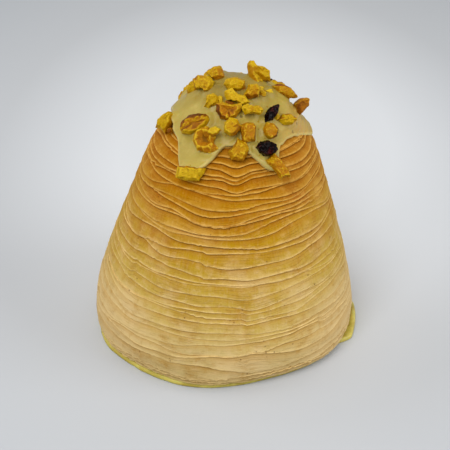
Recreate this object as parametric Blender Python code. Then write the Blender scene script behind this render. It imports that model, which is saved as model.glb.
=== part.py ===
"""Bell-shaped sfogliatella: one long leaf of pastry wound in a spiral over a bell, standing on
its filling, with a cap of cream glaze that runs down in drips and holds nuts and raisins.

Metres, +Z up. The origin is the middle of the flat underside, and the front faces -Y.
Azimuths are in degrees, 0 at the front and growing towards +X. A place on the bell is given
by its azimuth, its arc (the distance from the top, measured down the outline) and its lift
(the distance outwards from the outline).
"""

import itertools
import math
import random

import bmesh
import bpy
import numpy as np
from mathutils import Euler, Matrix, Vector
from mathutils.bvhtree import BVHTree

MM = 0.001
GAP = 0.4 * MM  # left between pieces that touch

# The outline of the glazed bell: a round belly, a straight flank and a domed top.
BELL_HEIGHT = 131 * MM
BELLY_RADIUS = 65 * MM
BELLY_HEIGHT = 10 * MM
FLANK_TAPER = 0.64  # how much the flank narrows on the way up, as a share of the belly
FLANK_BEND = 0.15  # over what share of the height the belly bends into the flank
DOME_POWER = 10  # the higher, the tighter the top rounds over
FOOT_DRAW = 3.5 * MM  # how far the foot draws in below the belly
FOOT_POWER = 3
OUTLINE_ROWS = 240
FOOT_ROWS = 24
LEAN = 5.8 * MM  # how far the top stands over to the right
LEAN_POWER = 1.2
# Where the foot draws in at the front: azimuth, half width in degrees, depth in millimetres.
TUCKS = ((20, 20, 4.0), (-36, 18, 2.0))
TUCK_HEIGHT = 18 * MM

# The pastry: leaves counted from the top, each a turn of the spiral.
LEAF_COUNT = 37
LEAF_COLUMNS = 32
LEAF_START = 32 * MM
LEAF_END_HEIGHT = 3.0 * MM
LEAF_STEP = 0.95 * MM  # how far a leaf's lip stands over the next leaf
DOME_ROWS = (0.66, 0.33)  # the rings of the bare dome, as shares of the first leaf's arc
UPPER_WIDTH = 2.5  # the leaves widen from the top one to the lowest
LOWER_WIDTH = 3.2
UNEVEN = 0.25  # how much any leaf is wider or narrower than that, as a share
WIDE_LEAVES = (17, 20, 24, 30, 33)
WIDE_FACTOR = 1.6

# The glaze: a cap over the dome, with the drips that run down from its edge.
GLAZE_THICKNESS = 2.4 * MM
GLAZE_COLUMNS = 48
GLAZE_ROWS = (0.16, 0.32, 0.48, 0.62, 0.74, 0.84, 0.91, 0.965)
GLAZE_RIM_START = 0.84  # where the edge starts to round off
DOME_DROP = 2.8 * MM  # how far the pastry lies under the outline, below the glaze
DROP_ENDS = (36 * MM, 52 * MM)
GLAZE_EDGE = 41.0 * MM
# Each change of the edge: azimuth, half width in degrees, and how much further down it runs.
GLAZE_RUNS = (
    (-31, 12, 11.5), (27, 8, 9.5), (-3, 9, -4.0), (-85, 23, -6.5), (55, 8, -1.5),
    (97, 18, 8.5), (140, 12, -4.5), (168, 12, 8.5), (-158, 12, -4.0), (-128, 11, 6.0),
)

# The filling: a layer right through the foot, with a rim that shows and a lobe at the right.
FILLING_HEIGHT = 2.6 * MM
FILLING_RADIUS = 61.8 * MM
FILLING_COLUMNS = 64
RIM_AZIMUTH = -58
RIM_WIDTH = 60
RIM_OUT = 2.2 * MM
RIM_WAVE = 0.35 * MM
LOBE_AZIMUTH = 84
LOBE_WIDTH = 17
LOBE_OUT = 68.6 * MM
LOBE_HEIGHT = 5.6 * MM
LOBE_WALL = 65.4 * MM  # the lobe's inner wall, just clear of the pastry
# The rim's section, from the underside up: how far in, how high, both in millimetres, and
# the share of the lobe's extra height that the point rises by.
RIM_SECTION = ((1.0, 0.0, 0.0), (0.0, 1.2, 0.0), (0.3, 2.0, 0.6), (1.2, 2.5, 1.0))
RIM_INSIDE = 2.0 * MM
WALL_RISE = 0.8

# Toppings: kind, azimuth, arc, width, length and height in millimetres, turn about the
# outward line, tip forwards. The last rows are round the back.
TOPPINGS = (
    ("chunk", -116, 9.5, 9.5, 7.5, 6.5, 20, 20),
    ("half", -84, 14.5, 10, 9, 7, -20, 35),
    ("chunk", -101, 22, 8, 9.5, 7, 15, 10),
    ("chunk", -38, 18.5, 7.5, 7, 5.5, 40, 0),
    ("half", -77, 37, 9, 11, 8, 10, 0),
    ("half", -43, 30.5, 14, 10, 7, 15, 10),
    ("half", -24, 37, 11.5, 12, 7, -35, 0),
    ("chunk", -17, 30, 7, 7, 5.5, 25, 0),
    ("chunk", -29, 52.5, 17, 8.5, 6.5, 6, 0),
    ("half", -8, 22, 12.5, 9.5, 6.5, -10, 15),
    ("chunk", 0, 6.5, 10.5, 7, 5.5, 10, 20),
    ("chunk", 3, 15.3, 12, 6.5, 6, -30, 0),
    ("chunk", 31, 12.5, 8.5, 8.5, 6.5, 35, 0),
    ("sliver", 138, 9.5, 7.5, 13, 7.5, 10, 70),
    ("chunk", 104, 11, 6.5, 10, 6.5, -15, 50),
    ("sliver", 93, 23.5, 14, 9, 6, 25, 10),
    ("chunk", 98, 35.5, 10, 8.5, 7, 20, 0),
    ("chunk", 20, 22.5, 11, 7, 6, -12, 0),
    ("chunk", -4, 30, 8, 9.5, 6, 30, 0),
    ("chunk", 13, 31.5, 8, 10, 6, -12, 0),
    ("chunk", 3, 39.5, 8.5, 11.5, 6, 20, 0),
    ("raisin", 42, 25.5, 9, 7.5, 6, 35, 0),
    ("sliver", 56, 31, 10, 6.5, 5, -10, 0),
    ("chunk", 32, 32.5, 8, 8, 5.5, 20, 0),
    ("raisin", 24.5, 40.5, 11, 7.5, 6, -10, 0),
    ("sliver", 33, 49.5, 7, 14, 5.5, 32, 0),
    ("chunk", 172, 23.5, 9, 8, 6, 30, 0),
    ("half", -150, 20, 10.5, 10, 6.5, 15, 5),
    ("chunk", 130, 25, 9.5, 7.5, 6, -25, 0),
    ("half", 172, 33, 11, 10, 6.5, 40, 0),
    ("chunk", -130, 32, 8.5, 8, 6, 10, 0),
    ("raisin", 148, 34, 10, 7, 5.5, -35, 0),
    ("chunk", -165, 42, 9, 10, 6, 15, 0),
    ("chunk", 138, 45, 8, 7, 5.5, 50, 0),
    ("sliver", -140, 43, 10, 6.5, 5, -30, 0),
)
SINK = 0.3  # share of a topping's height that sits in the glaze
HALF_CUT = 0.3  # where a half nut's cut face lies, as a share of its radius
HALF_HOLLOW = 0.28
SLIVER_BOW = 0.4
RAISIN_FOLD = 0.14
CORNERS = 10  # corners of a broken piece
CORNER_STRAY = 0.4
CORNER_NEAR = 0.9  # how far they reach, as a share of its size
CORNER_FAR = 1.12
MIDDLE_SWELL = 0.16
GOLDEN_ANGLE = math.pi * (3 - math.sqrt(5))
EDGE_REACH = 2.5 * MM  # how near the glaze's edge a topping is kept above its rim
STACK_STEP = 0.25 * MM
SEED = 11


def ease(value):
    """0 below 0, 1 above 1, and a smooth rise between."""
    value = min(1.0, max(0.0, value))
    return value * value * (3 - 2 * value)


def hill(azimuth, middle, half_width):
    """A smooth hill of height 1 round the bell, half as high at the half width."""
    away = abs((azimuth - middle + 180) % 360 - 180)
    return ease(1 - away / (2 * half_width))


def bell_outline():
    """Rows of radius and height, from the top down to the foot."""
    rise = 1 - np.linspace(0, 1, OUTLINE_ROWS + 1) ** 2
    taper = 1 - FLANK_TAPER * (np.hypot(rise, FLANK_BEND) - FLANK_BEND)
    radius = BELLY_RADIUS * taper * np.sqrt(1 - rise**DOME_POWER)
    height = BELLY_HEIGHT + (BELL_HEIGHT - BELLY_HEIGHT) * rise
    below = np.linspace(0, 1, FOOT_ROWS + 1)[1:]
    foot = np.stack([BELLY_RADIUS - FOOT_DRAW * below**FOOT_POWER, BELLY_HEIGHT * (1 - below)], axis=1)
    return np.vstack([np.stack([radius, height], axis=1), foot])


OUTLINE = bell_outline()
SPANS = np.linalg.norm(np.diff(OUTLINE, axis=0), axis=1)
ARCS = np.concatenate([[0.0], np.cumsum(SPANS)])
SLOPES = np.gradient(OUTLINE, ARCS, axis=0)
LEAF_END = float(np.interp(-LEAF_END_HEIGHT, -OUTLINE[:, 1], ARCS))


def lean(height):
    """How far the bell's middle lies to the right at this height."""
    return LEAN * max(0.0, height / BELL_HEIGHT) ** LEAN_POWER


def tuck(azimuth, height):
    """How far the foot draws in."""
    depth = sum(deep * hill(azimuth, middle, wide) for middle, wide, deep in TUCKS) * MM
    return depth * ease(1 - height / TUCK_HEIGHT)


def bell_point(azimuth, arc, lift=0.0):
    """The point at this azimuth and arc, lifted off the outline."""
    radius, height = (float(np.interp(arc, ARCS, OUTLINE[:, k])) for k in range(2))
    out, down = (float(np.interp(arc, ARCS, SLOPES[:, k])) for k in range(2))
    radius -= down * lift
    height += out * lift
    radius -= tuck(azimuth, height)
    angle = math.radians(azimuth)
    return Vector((radius * math.sin(angle) + lean(height), -radius * math.cos(angle), height))


def bell_place(point):
    """The azimuth, arc and lift of a point, the other way about."""
    across = point.x - lean(point.z)
    azimuth = math.degrees(math.atan2(across, -point.y))
    radius = math.hypot(across, point.y) + tuck(azimuth, point.z)
    away = np.hypot(OUTLINE[:, 0] - radius, OUTLINE[:, 1] - point.z)
    nearest = int(np.argmin(away))
    out, down = SLOPES[nearest]
    lift = (radius - OUTLINE[nearest, 0]) * -down + (point.z - OUTLINE[nearest, 1]) * out
    return azimuth, float(ARCS[nearest]), float(lift)


def pastry_lift(arc):
    """How the tips of the leaves lie to the outline: on it, and under it below the glaze."""
    start, end = DROP_ENDS
    return -DOME_DROP * (1 - ease((arc - start) / (end - start)))


def glaze_edge(azimuth):
    """The arc that the glaze reaches at this azimuth."""
    runs = sum(far * hill(azimuth, middle, wide) for middle, wide, far in GLAZE_RUNS)
    return GLAZE_EDGE + runs * MM


def glaze_top(azimuth, arc):
    """The lift of the glaze's outer face, or of the pastry where there is no glaze."""
    share = arc / glaze_edge(azimuth)
    if share >= 1:
        return pastry_lift(arc)
    round_off = max(0.0, share - GLAZE_RIM_START) / (1 - GLAZE_RIM_START)
    return pastry_lift(arc) + GAP + GLAZE_THICKNESS * math.sqrt(1 - round_off**2)


def new_material(name, colour, roughness):
    """A plain dielectric material of this colour."""
    material = bpy.data.materials.new(name)
    material.use_nodes = True
    material.diffuse_color = (*colour, 1)
    shader = material.node_tree.nodes["Principled BSDF"]
    shader.inputs["Base Color"].default_value = (*colour, 1)
    shader.inputs["Roughness"].default_value = roughness
    shader.inputs["Metallic"].default_value = 0.0
    return material


def new_object(name, mesh_data, material):
    """Turn the bmesh into a named object with outward faces."""
    bmesh.ops.recalc_face_normals(mesh_data, faces=mesh_data.faces)
    mesh = bpy.data.meshes.new(name)
    mesh_data.to_mesh(mesh)
    mesh_data.free()
    mesh.materials.append(material)
    obj = bpy.data.objects.new(name, mesh)
    bpy.context.scene.collection.objects.link(obj)
    return obj


def leaf_edges():
    """The arc of each lip where it passes the front, from the first hidden turn to the foot."""
    widths = np.linspace(UPPER_WIDTH, LOWER_WIDTH, LEAF_COUNT)
    widths *= np.random.default_rng(SEED).uniform(1 - UNEVEN, 1 + UNEVEN, LEAF_COUNT)
    widths[list(WIDE_LEAVES)] *= WIDE_FACTOR
    reach = (LEAF_END - LEAF_START) / widths.sum()
    return LEAF_START + reach * np.concatenate([[0.0], np.cumsum(widths)])


def pastry_bell(material):
    """The wound leaf, as a stair of lips and roots, closed by the dome and a flat foot.

    Lip k lies one column along from lip k - 1, and root k lies just under the lip one turn
    above it. The first and last turns run out into a plain ring, so that the spiral has no
    open end.
    """
    edges = leaf_edges()
    last_turn = LEAF_COUNT * LEAF_COLUMNS
    end = last_turn + LEAF_COLUMNS
    bell = bmesh.new()

    def azimuth_at(column):
        return 360.0 * (column % LEAF_COLUMNS) / LEAF_COLUMNS

    def lip_arc(column):
        return float(np.interp(column / LEAF_COLUMNS, np.arange(LEAF_COUNT + 1), edges))

    def step_at(column):
        grown = min(column, last_turn - column) / LEAF_COLUMNS
        return LEAF_STEP * min(1.0, max(0.0, grown))

    def point(column, arc, drop=0.0):
        return bell.verts.new(bell_point(azimuth_at(column), arc, pastry_lift(arc) - drop))

    ring = [point(column, edges[0]) for column in range(LEAF_COLUMNS)]
    lips = [ring[0]] + [point(column, lip_arc(column)) for column in range(1, end)]
    lips.append(lips[last_turn])
    roots = ring + [ring[0]]
    for column in range(LEAF_COLUMNS + 1, end):
        above = column - LEAF_COLUMNS
        roots.append(point(column, lip_arc(above), step_at(above)))
    roots.append(lips[last_turn])

    def face(*corners):
        corners = list(dict.fromkeys(corners))
        if len(corners) > 2:
            bell.faces.new(corners)

    for column in range(end):
        face(roots[column], roots[column + 1], lips[column + 1], lips[column])
        if column >= LEAF_COLUMNS:
            above = column - LEAF_COLUMNS
            face(lips[above], lips[above + 1], roots[column + 1], roots[column])
    bell.faces.new(lips[last_turn:end])

    inner = ring
    for share in DOME_ROWS:
        arc = edges[0] * share
        row = [point(column, arc) for column in range(LEAF_COLUMNS)]
        for column in range(LEAF_COLUMNS):
            after = (column + 1) % LEAF_COLUMNS
            face(row[column], row[after], inner[after], inner[column])
        inner = row
    top = point(0, 0.0)
    for column in range(LEAF_COLUMNS):
        face(top, inner[(column + 1) % LEAF_COLUMNS], inner[column])
    return new_object("pastry_bell", bell, material)


def glaze_cap(material):
    """The glaze: an outer and an inner face that meet along the dripping edge."""
    glaze = bmesh.new()
    azimuths = [360.0 * column / GLAZE_COLUMNS for column in range(GLAZE_COLUMNS)]

    def row(share, lift_of):
        points = []
        for azimuth in azimuths:
            arc = glaze_edge(azimuth) * share
            points.append(glaze.verts.new(bell_point(azimuth, arc, lift_of(azimuth, arc))))
        return points

    def under(_, arc):
        return pastry_lift(arc) + GAP

    edge = row(1.0, under)
    for lift_of in (glaze_top, under):
        rows = [row(share, lift_of) for share in GLAZE_ROWS] + [edge]
        top = glaze.verts.new(bell_point(0.0, 0.0, lift_of(0.0, 0.0)))
        for column in range(GLAZE_COLUMNS):
            after = (column + 1) % GLAZE_COLUMNS
            glaze.faces.new((top, rows[0][after], rows[0][column]))
            for upper, lower in zip(rows, rows[1:]):
                glaze.faces.new((upper[column], upper[after], lower[after], lower[column]))
    return new_object("glaze_cap", glaze, material)


def filling_section(azimuth):
    """Radius and height of the rim's section at this azimuth, from the underside up."""
    shown = hill(azimuth, RIM_AZIMUTH, RIM_WIDTH)
    wave = RIM_WAVE * (math.sin(math.radians(9 * azimuth)) + math.sin(math.radians(14 * azimuth)))
    plain = FILLING_RADIUS + RIM_OUT * shown + wave * shown - tuck(azimuth, 0.0)
    spread = hill(azimuth, LOBE_AZIMUTH, LOBE_WIDTH)
    out = plain + (LOBE_OUT - plain) * ease(2 * spread)
    rise = (LOBE_HEIGHT - FILLING_HEIGHT) * ease(2 * spread - 1)
    inside = out - RIM_INSIDE
    wall = inside + (LOBE_WALL - inside) * ease(2 * spread)
    rim = [(out - inset * MM, height * MM + share * rise) for inset, height, share in RIM_SECTION]
    return [*rim, (wall, FILLING_HEIGHT + WALL_RISE * rise), (wall, FILLING_HEIGHT)]


def filling_layer(material):
    """The filling: flat underneath, its rim standing out of the foot of the bell."""
    filling = bmesh.new()
    columns = []
    for column in range(FILLING_COLUMNS):
        azimuth = 360.0 * column / FILLING_COLUMNS
        across, along = math.sin(math.radians(azimuth)), -math.cos(math.radians(azimuth))
        columns.append([
            filling.verts.new((radius * across, radius * along, height))
            for radius, height in dict.fromkeys(filling_section(azimuth))
        ])
    for section, after in zip(columns, columns[1:] + columns[:1]):
        for low in range(min(len(section), len(after)) - 1):
            filling.faces.new((section[low], after[low], after[low + 1], section[low + 1]))
        if len(section) != len(after):
            longer, shorter = sorted((section, after), key=len, reverse=True)
            filling.faces.new((shorter[-1], longer[-2], longer[-1]))
    filling.faces.new([section[0] for section in columns])
    filling.faces.new([section[-1] for section in columns])
    return new_object("filling_layer", filling, material)


def round_blank(_):
    """A ball of 80 faces, for kernels and raisins."""
    blank = bmesh.new()
    bmesh.ops.create_icosphere(blank, subdivisions=2, radius=1)
    return blank


def broken_blank(dice):
    """A broken piece with flat faces: the hull of a few corners spread over a ball."""
    blank = bmesh.new()
    for corner in range(CORNERS):
        level = 1 - (2 * corner + 1) / CORNERS + dice.uniform(-1, 1) / CORNERS
        around = GOLDEN_ANGLE * corner + dice.uniform(-CORNER_STRAY, CORNER_STRAY)
        across = math.sqrt(max(0.0, 1 - level**2))
        direction = Vector((across * math.cos(around), across * math.sin(around), level))
        blank.verts.new(direction * dice.uniform(CORNER_NEAR, CORNER_FAR))
    hull = bmesh.ops.convex_hull(blank, input=blank.verts)
    inside = [item for item in hull["geom_interior"] if isinstance(item, bmesh.types.BMVert)]
    bmesh.ops.delete(blank, geom=inside, context="VERTS")
    split = bmesh.ops.subdivide_edges(blank, edges=blank.edges, cuts=1, use_grid_fill=True)
    for vert in split["geom_inner"]:
        if isinstance(vert, bmesh.types.BMVert):
            vert.co *= 1 + dice.uniform(0, MIDDLE_SWELL)
    bmesh.ops.triangulate(blank, faces=blank.faces)
    return blank


def shape_chunk(point):
    """A chopped piece keeps its broken faces."""
    return point


def shape_half(point):
    """Half a kernel: round below, with a hollow in its cut face."""
    if point.z > HALF_CUT:
        middle = 1 - math.hypot(point.x, point.y)
        point.z = HALF_CUT - HALF_HOLLOW * max(0.0, middle)
    return point


def shape_sliver(point):
    """A long bowed piece with broken ends."""
    point.z -= SLIVER_BOW * (point.y**2 - 0.5)
    return point


def shape_raisin(point):
    """A dried fruit with folds along it."""
    around = math.atan2(point.z, point.x)
    fold = math.cos(5 * around + 2 * point.y) * (1 - point.y**2)
    return point * (1 + RAISIN_FOLD * fold)


BLANKS = {
    "chunk": broken_blank, "half": round_blank, "sliver": broken_blank, "raisin": round_blank,
}
SHAPES = {
    "chunk": shape_chunk, "half": shape_half, "sliver": shape_sliver, "raisin": shape_raisin,
}


def seat(azimuth, arc):
    """The lowest lift at which a topping is clear of the glaze and the pastry."""
    nearby = (arc + share * EDGE_REACH for share in (-1, -0.5, 0, 0.5, 1))
    return max(glaze_top(azimuth, near) for near in nearby) + GAP


def on_glaze(point):
    """The point itself, or the nearest place clear of the glaze and pastry."""
    azimuth, arc, lift = bell_place(point)
    need = seat(azimuth, arc)
    return bell_point(azimuth, arc, need) if lift < need else point


def topping_frame(azimuth, arc, turn, tip):
    """The outward line at a place on the bell, and the turned axes of a topping there."""
    outward = (bell_point(azimuth, arc, MM) - bell_point(azimuth, arc)).normalized()
    side = Vector((math.cos(math.radians(azimuth)), math.sin(math.radians(azimuth)), 0))
    frame = Matrix((side, outward.cross(side), outward)).transposed()
    turned = Euler((math.radians(tip), 0, math.radians(turn)), "ZYX").to_matrix()
    return outward, frame @ turned


def topping(name, kind, place, size, pose, settled, material):
    """One nut or raisin, raised step by step until it is clear of the ones already there."""
    azimuth, arc = place
    outward, frame = topping_frame(azimuth, arc, *pose)
    half = Vector(size) / 2
    reach = sum(abs((frame.col[k] * half[k]).dot(outward)) for k in (1, 2))
    middle = bell_point(azimuth, arc, seat(azimuth, arc)) + outward * reach * (1 - 2 * SINK)
    body = BLANKS[kind](random.Random(SEED + round(7 * azimuth + 13 * arc / MM)))
    local = [SHAPES[kind](vert.co.copy()) for vert in body.verts]
    offsets = [frame @ Vector([point[k] * half[k] for k in range(3)]) for point in local]
    raised = 0.0
    clear = False
    while not clear:
        for vert, offset in zip(body.verts, offsets):
            vert.co = on_glaze(middle + outward * raised + offset)
        tree = BVHTree.FromBMesh(body)
        clear = not any(tree.overlap(other) for other in settled)
        raised += STACK_STEP
    settled.append(grown_tree(body))
    return new_object(name, body, material)


def grown_tree(body):
    """The search tree of a topping grown by the gap, for the next ones to stay clear of."""
    bmesh.ops.recalc_face_normals(body, faces=body.faces)
    body.normal_update()
    points = [vert.co + vert.normal * GAP for vert in body.verts]
    faces = [[vert.index for vert in face.verts] for face in body.faces]
    return BVHTree.FromPolygons(points, faces)


def toppings(nut, raisin):
    """All nuts and raisins, each resting on the glaze or on the pieces before it."""
    settled = []
    counts = {}
    for kind, azimuth, arc, *rest in TOPPINGS:
        counts[kind] = counts.get(kind, 0) + 1
        family = "raisin" if kind == "raisin" else f"nut_{kind}"
        name = f"{family}_{counts[kind]:02d}"
        size = [side * MM for side in rest[:3]]
        material = raisin if kind == "raisin" else nut
        topping(name, kind, (azimuth, arc * MM), size, rest[3:], settled, material)


def clear_scene():
    """Take everything out of the scene."""
    for obj in list(bpy.data.objects):
        bpy.data.objects.remove(obj, do_unlink=True)


def main():
    """Build the pastry from the foot up."""
    clear_scene()
    filling_layer(new_material("filling_cream", (0.51, 0.42, 0.11), 0.5))
    pastry_bell(new_material("baked_pastry", (0.50, 0.33, 0.12), 0.7))
    glaze_cap(new_material("cream_glaze", (0.43, 0.33, 0.09), 0.4))
    nut = new_material("chopped_nut", (0.53, 0.31, 0.03), 0.5)
    raisin = new_material("raisin_skin", (0.02, 0.008, 0.004), 0.3)
    toppings(nut, raisin)


main()
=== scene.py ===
"""Looks of the bell-shaped sfogliatella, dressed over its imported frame.

One long leaf of pastry is wound in a spiral over the bell, each turn's lip standing over the
turn below. The bell stands on its filling, and a cap of cream glaze runs down from the top and
holds nuts and raisins. Metres, +Z up; the origin is the middle of the flat underside, and the
front faces -Y. A place on the bell is an azimuth in degrees (0 at the front, growing towards
+X), an arc (the distance from the top, down the outline) and a lift (outwards).
"""

from __future__ import annotations

import logging
import math
from dataclasses import dataclass, field
from enum import Enum
from typing import Any, Sequence

import bmesh
import bpy
import numpy as np
from bpy.types import Material, Mesh, Node, NodeSocket, NodeTree, Object
from mathutils import Matrix, Vector
from mathutils.kdtree import KDTree


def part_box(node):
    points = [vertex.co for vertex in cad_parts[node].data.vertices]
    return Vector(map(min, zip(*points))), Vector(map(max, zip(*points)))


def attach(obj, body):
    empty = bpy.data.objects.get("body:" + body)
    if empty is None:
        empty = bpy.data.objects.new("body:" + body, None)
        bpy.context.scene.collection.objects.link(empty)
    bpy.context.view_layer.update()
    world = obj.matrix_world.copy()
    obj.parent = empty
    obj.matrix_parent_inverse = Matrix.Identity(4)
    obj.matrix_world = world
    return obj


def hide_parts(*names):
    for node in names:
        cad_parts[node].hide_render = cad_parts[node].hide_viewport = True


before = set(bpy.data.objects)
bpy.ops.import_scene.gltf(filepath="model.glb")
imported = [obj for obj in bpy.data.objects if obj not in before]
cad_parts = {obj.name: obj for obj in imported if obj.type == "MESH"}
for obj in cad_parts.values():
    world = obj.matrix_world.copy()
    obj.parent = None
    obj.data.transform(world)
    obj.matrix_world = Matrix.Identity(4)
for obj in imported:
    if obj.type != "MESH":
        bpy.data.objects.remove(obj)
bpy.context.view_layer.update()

LOG = logging.getLogger("sfogliatella")
MM = 0.001
BODY = "root"
SEED = 11
Array = np.ndarray
Colour = tuple[float, float, float]


# ---------------------------------------------------------------- numbers and noise


def ease(value: Array | float) -> Array:
    """0 below 0, 1 above 1, and a smooth rise between."""
    value = np.clip(value, 0.0, 1.0)
    return value * value * (3 - 2 * value)


def hill(azimuth: Array, middle: float, half_width: float) -> Array:
    """A smooth hill of height 1 round the bell, half as high at the half width."""
    away = np.abs((azimuth - middle + 180) % 360 - 180)
    return ease(1 - away / (2 * half_width))


def patch(azimuth: Array, arc: Array, middle: tuple[float, float], reach: tuple[float, float]) -> Array:
    """A smooth patch of height 1 on the bell's skin.

    Args:
        azimuth: Azimuths of the places asked for.
        arc: Their arcs.
        middle: Azimuth and arc (mm) of the patch's middle.
        reach: Half widths round the bell (degrees) and down it (mm).

    Returns:
        The patch's height at each place.
    """
    down = np.abs(arc / MM - middle[1])
    return hill(azimuth, middle[0], reach[0]) * ease(1 - down / (2 * reach[1]))


def below(arc: Array, start: float, reach: float) -> Array:
    """0 above an arc (mm), 1 once the reach (mm) is passed, and a smooth rise between."""
    return ease((arc / MM - start) / reach)


def noise_line(along: Array, seed: int) -> Array:
    """Smooth noise from -1 to 1 along a line, with one lump for each unit."""
    values = np.random.default_rng(seed).uniform(-1, 1, int(np.max(along)) + 3)
    cell = np.floor(along).astype(int)
    share = ease(along - cell)
    return values[cell] * (1 - share) + values[cell + 1] * share


def noise_skin(azimuth: Array, arc: Array, lumps: int, pitch: float, seed: int) -> Array:
    """Smooth noise from -1 to 1 over the bell's skin.

    Args:
        azimuth: Azimuths of the places asked for.
        arc: Their arcs.
        lumps: How many lumps go round the bell.
        pitch: How far down the bell each lump reaches.
        seed: The seed of its table.

    Returns:
        The noise at each place.
    """
    across = (azimuth / 360.0 % 1.0) * lumps
    down = np.maximum(arc, 0.0) / pitch + 1.0
    table = np.random.default_rng(seed).uniform(-1, 1, (int(np.max(down)) + 3, lumps))
    column = np.floor(across).astype(int) % lumps
    row = np.floor(down).astype(int)
    side, fall = ease(across % 1.0), ease(down - row)
    after = (column + 1) % lumps
    upper = table[row, column] * (1 - side) + table[row, after] * side
    lower = table[row + 1, column] * (1 - side) + table[row + 1, after] * side
    return upper * (1 - fall) + lower * fall


def linear(red: int, green: int, blue: int) -> Colour:
    """The shader's colour for a display colour of 0 to 255 a channel."""
    shares = [channel / 255 for channel in (red, green, blue)]
    return tuple(s / 12.92 if s <= 0.04045 else ((s + 0.055) / 1.055) ** 2.4 for s in shares)


# ---------------------------------------------------------------- the bell


@dataclass
class Bell:
    """The bell's outline and lean, as its solids have them."""

    height: float = 131 * MM
    belly_radius: float = 65 * MM
    belly_height: float = 10 * MM
    taper: float = 0.64  # how much the flank narrows on the way up, as a share of the belly
    bend: float = 0.15  # over what share of the height the belly bends into the flank
    dome_power: float = 10  # the higher, the tighter the top rounds over
    foot_draw: float = 3.5 * MM
    foot_power: float = 3
    outline_rows: int = 240
    foot_rows: int = 24
    lean: float = 5.8 * MM
    lean_power: float = 1.2
    # Where the foot draws in at the front: azimuth, half width in degrees, depth (mm).
    tucks: Sequence[tuple[float, float, float]] = ((20, 20, 4.0), (-36, 18, 2.0))
    tuck_height: float = 18 * MM
    dome_drop: float = 2.8 * MM
    drop_ends: tuple[float, float] = (36 * MM, 52 * MM)
    curve: Array = field(init=False)
    arcs: Array = field(init=False)
    slopes: Array = field(init=False)

    def __post_init__(self) -> None:
        """Work out the outline: a round belly, a straight flank and a domed top."""
        rise = 1 - np.linspace(0, 1, self.outline_rows + 1) ** 2
        taper = 1 - self.taper * (np.hypot(rise, self.bend) - self.bend)
        radius = self.belly_radius * taper * np.sqrt(1 - rise**self.dome_power)
        height = self.belly_height + (self.height - self.belly_height) * rise
        below = np.linspace(0, 1, self.foot_rows + 1)[1:]
        foot_radius = self.belly_radius - self.foot_draw * below**self.foot_power
        foot = np.stack([foot_radius, self.belly_height * (1 - below)], axis=1)
        self.curve = np.vstack([np.stack([radius, height], axis=1), foot])
        spans = np.linalg.norm(np.diff(self.curve, axis=0), axis=1)
        self.arcs = np.concatenate([[0.0], np.cumsum(spans)])
        self.slopes = np.gradient(self.curve, self.arcs, axis=0)

    def _at(self, table: Array, arc: Array) -> tuple[Array, Array]:
        """Both columns of a table of the outline at these arcs."""
        return np.interp(arc, self.arcs, table[:, 0]), np.interp(arc, self.arcs, table[:, 1])

    def radius(self, arc: Array) -> Array:
        """The outline's radius at these arcs."""
        return self._at(self.curve, arc)[0]

    def lean_at(self, height: Array) -> Array:
        """How far the bell's middle lies to the right at these heights."""
        return self.lean * (np.maximum(height, 0.0) / self.height) ** self.lean_power

    def tuck(self, azimuth: Array, height: Array) -> Array:
        """How far the foot draws in."""
        depth = sum(deep * hill(azimuth, middle, wide) for middle, wide, deep in self.tucks) * MM
        return depth * ease(1 - height / self.tuck_height)

    def point(self, azimuth: Array, arc: Array, lift: Array | float = 0.0) -> Array:
        """The points at these azimuths and arcs, lifted off the outline.

        Args:
            azimuth: Azimuths in degrees.
            arc: Distances from the top.
            lift: Distances outwards.

        Returns:
            One row of three coordinates for each place.
        """
        azimuth, arc, lift = np.broadcast_arrays(azimuth, arc, lift)
        radius, height = self._at(self.curve, arc)
        out, down = self._at(self.slopes, arc)
        height = height + out * lift
        radius = radius - down * lift - self.tuck(azimuth, height)
        angle = np.radians(azimuth)
        across = radius * np.sin(angle) + self.lean_at(height)
        return np.stack([across, -radius * np.cos(angle), height], axis=-1)

    def axes(self, azimuth: Array, arc: Array) -> tuple[Array, Array]:
        """The outward and the downward unit vectors at these places."""
        here = self.point(azimuth, arc)
        outward = self.point(azimuth, arc, MM) - here
        downward = self.point(azimuth, arc + 0.5 * MM) - self.point(azimuth, arc - 0.5 * MM)
        outward /= np.linalg.norm(outward, axis=-1, keepdims=True)
        downward /= np.linalg.norm(downward, axis=-1, keepdims=True)
        return outward, downward

    def pastry_lift(self, arc: Array) -> Array:
        """How the pastry lies to the outline: on it, and under it below the glaze."""
        start, end = self.drop_ends
        return -self.dome_drop * (1 - ease((arc - start) / (end - start)))


# ---------------------------------------------------------------- node trees


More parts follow.
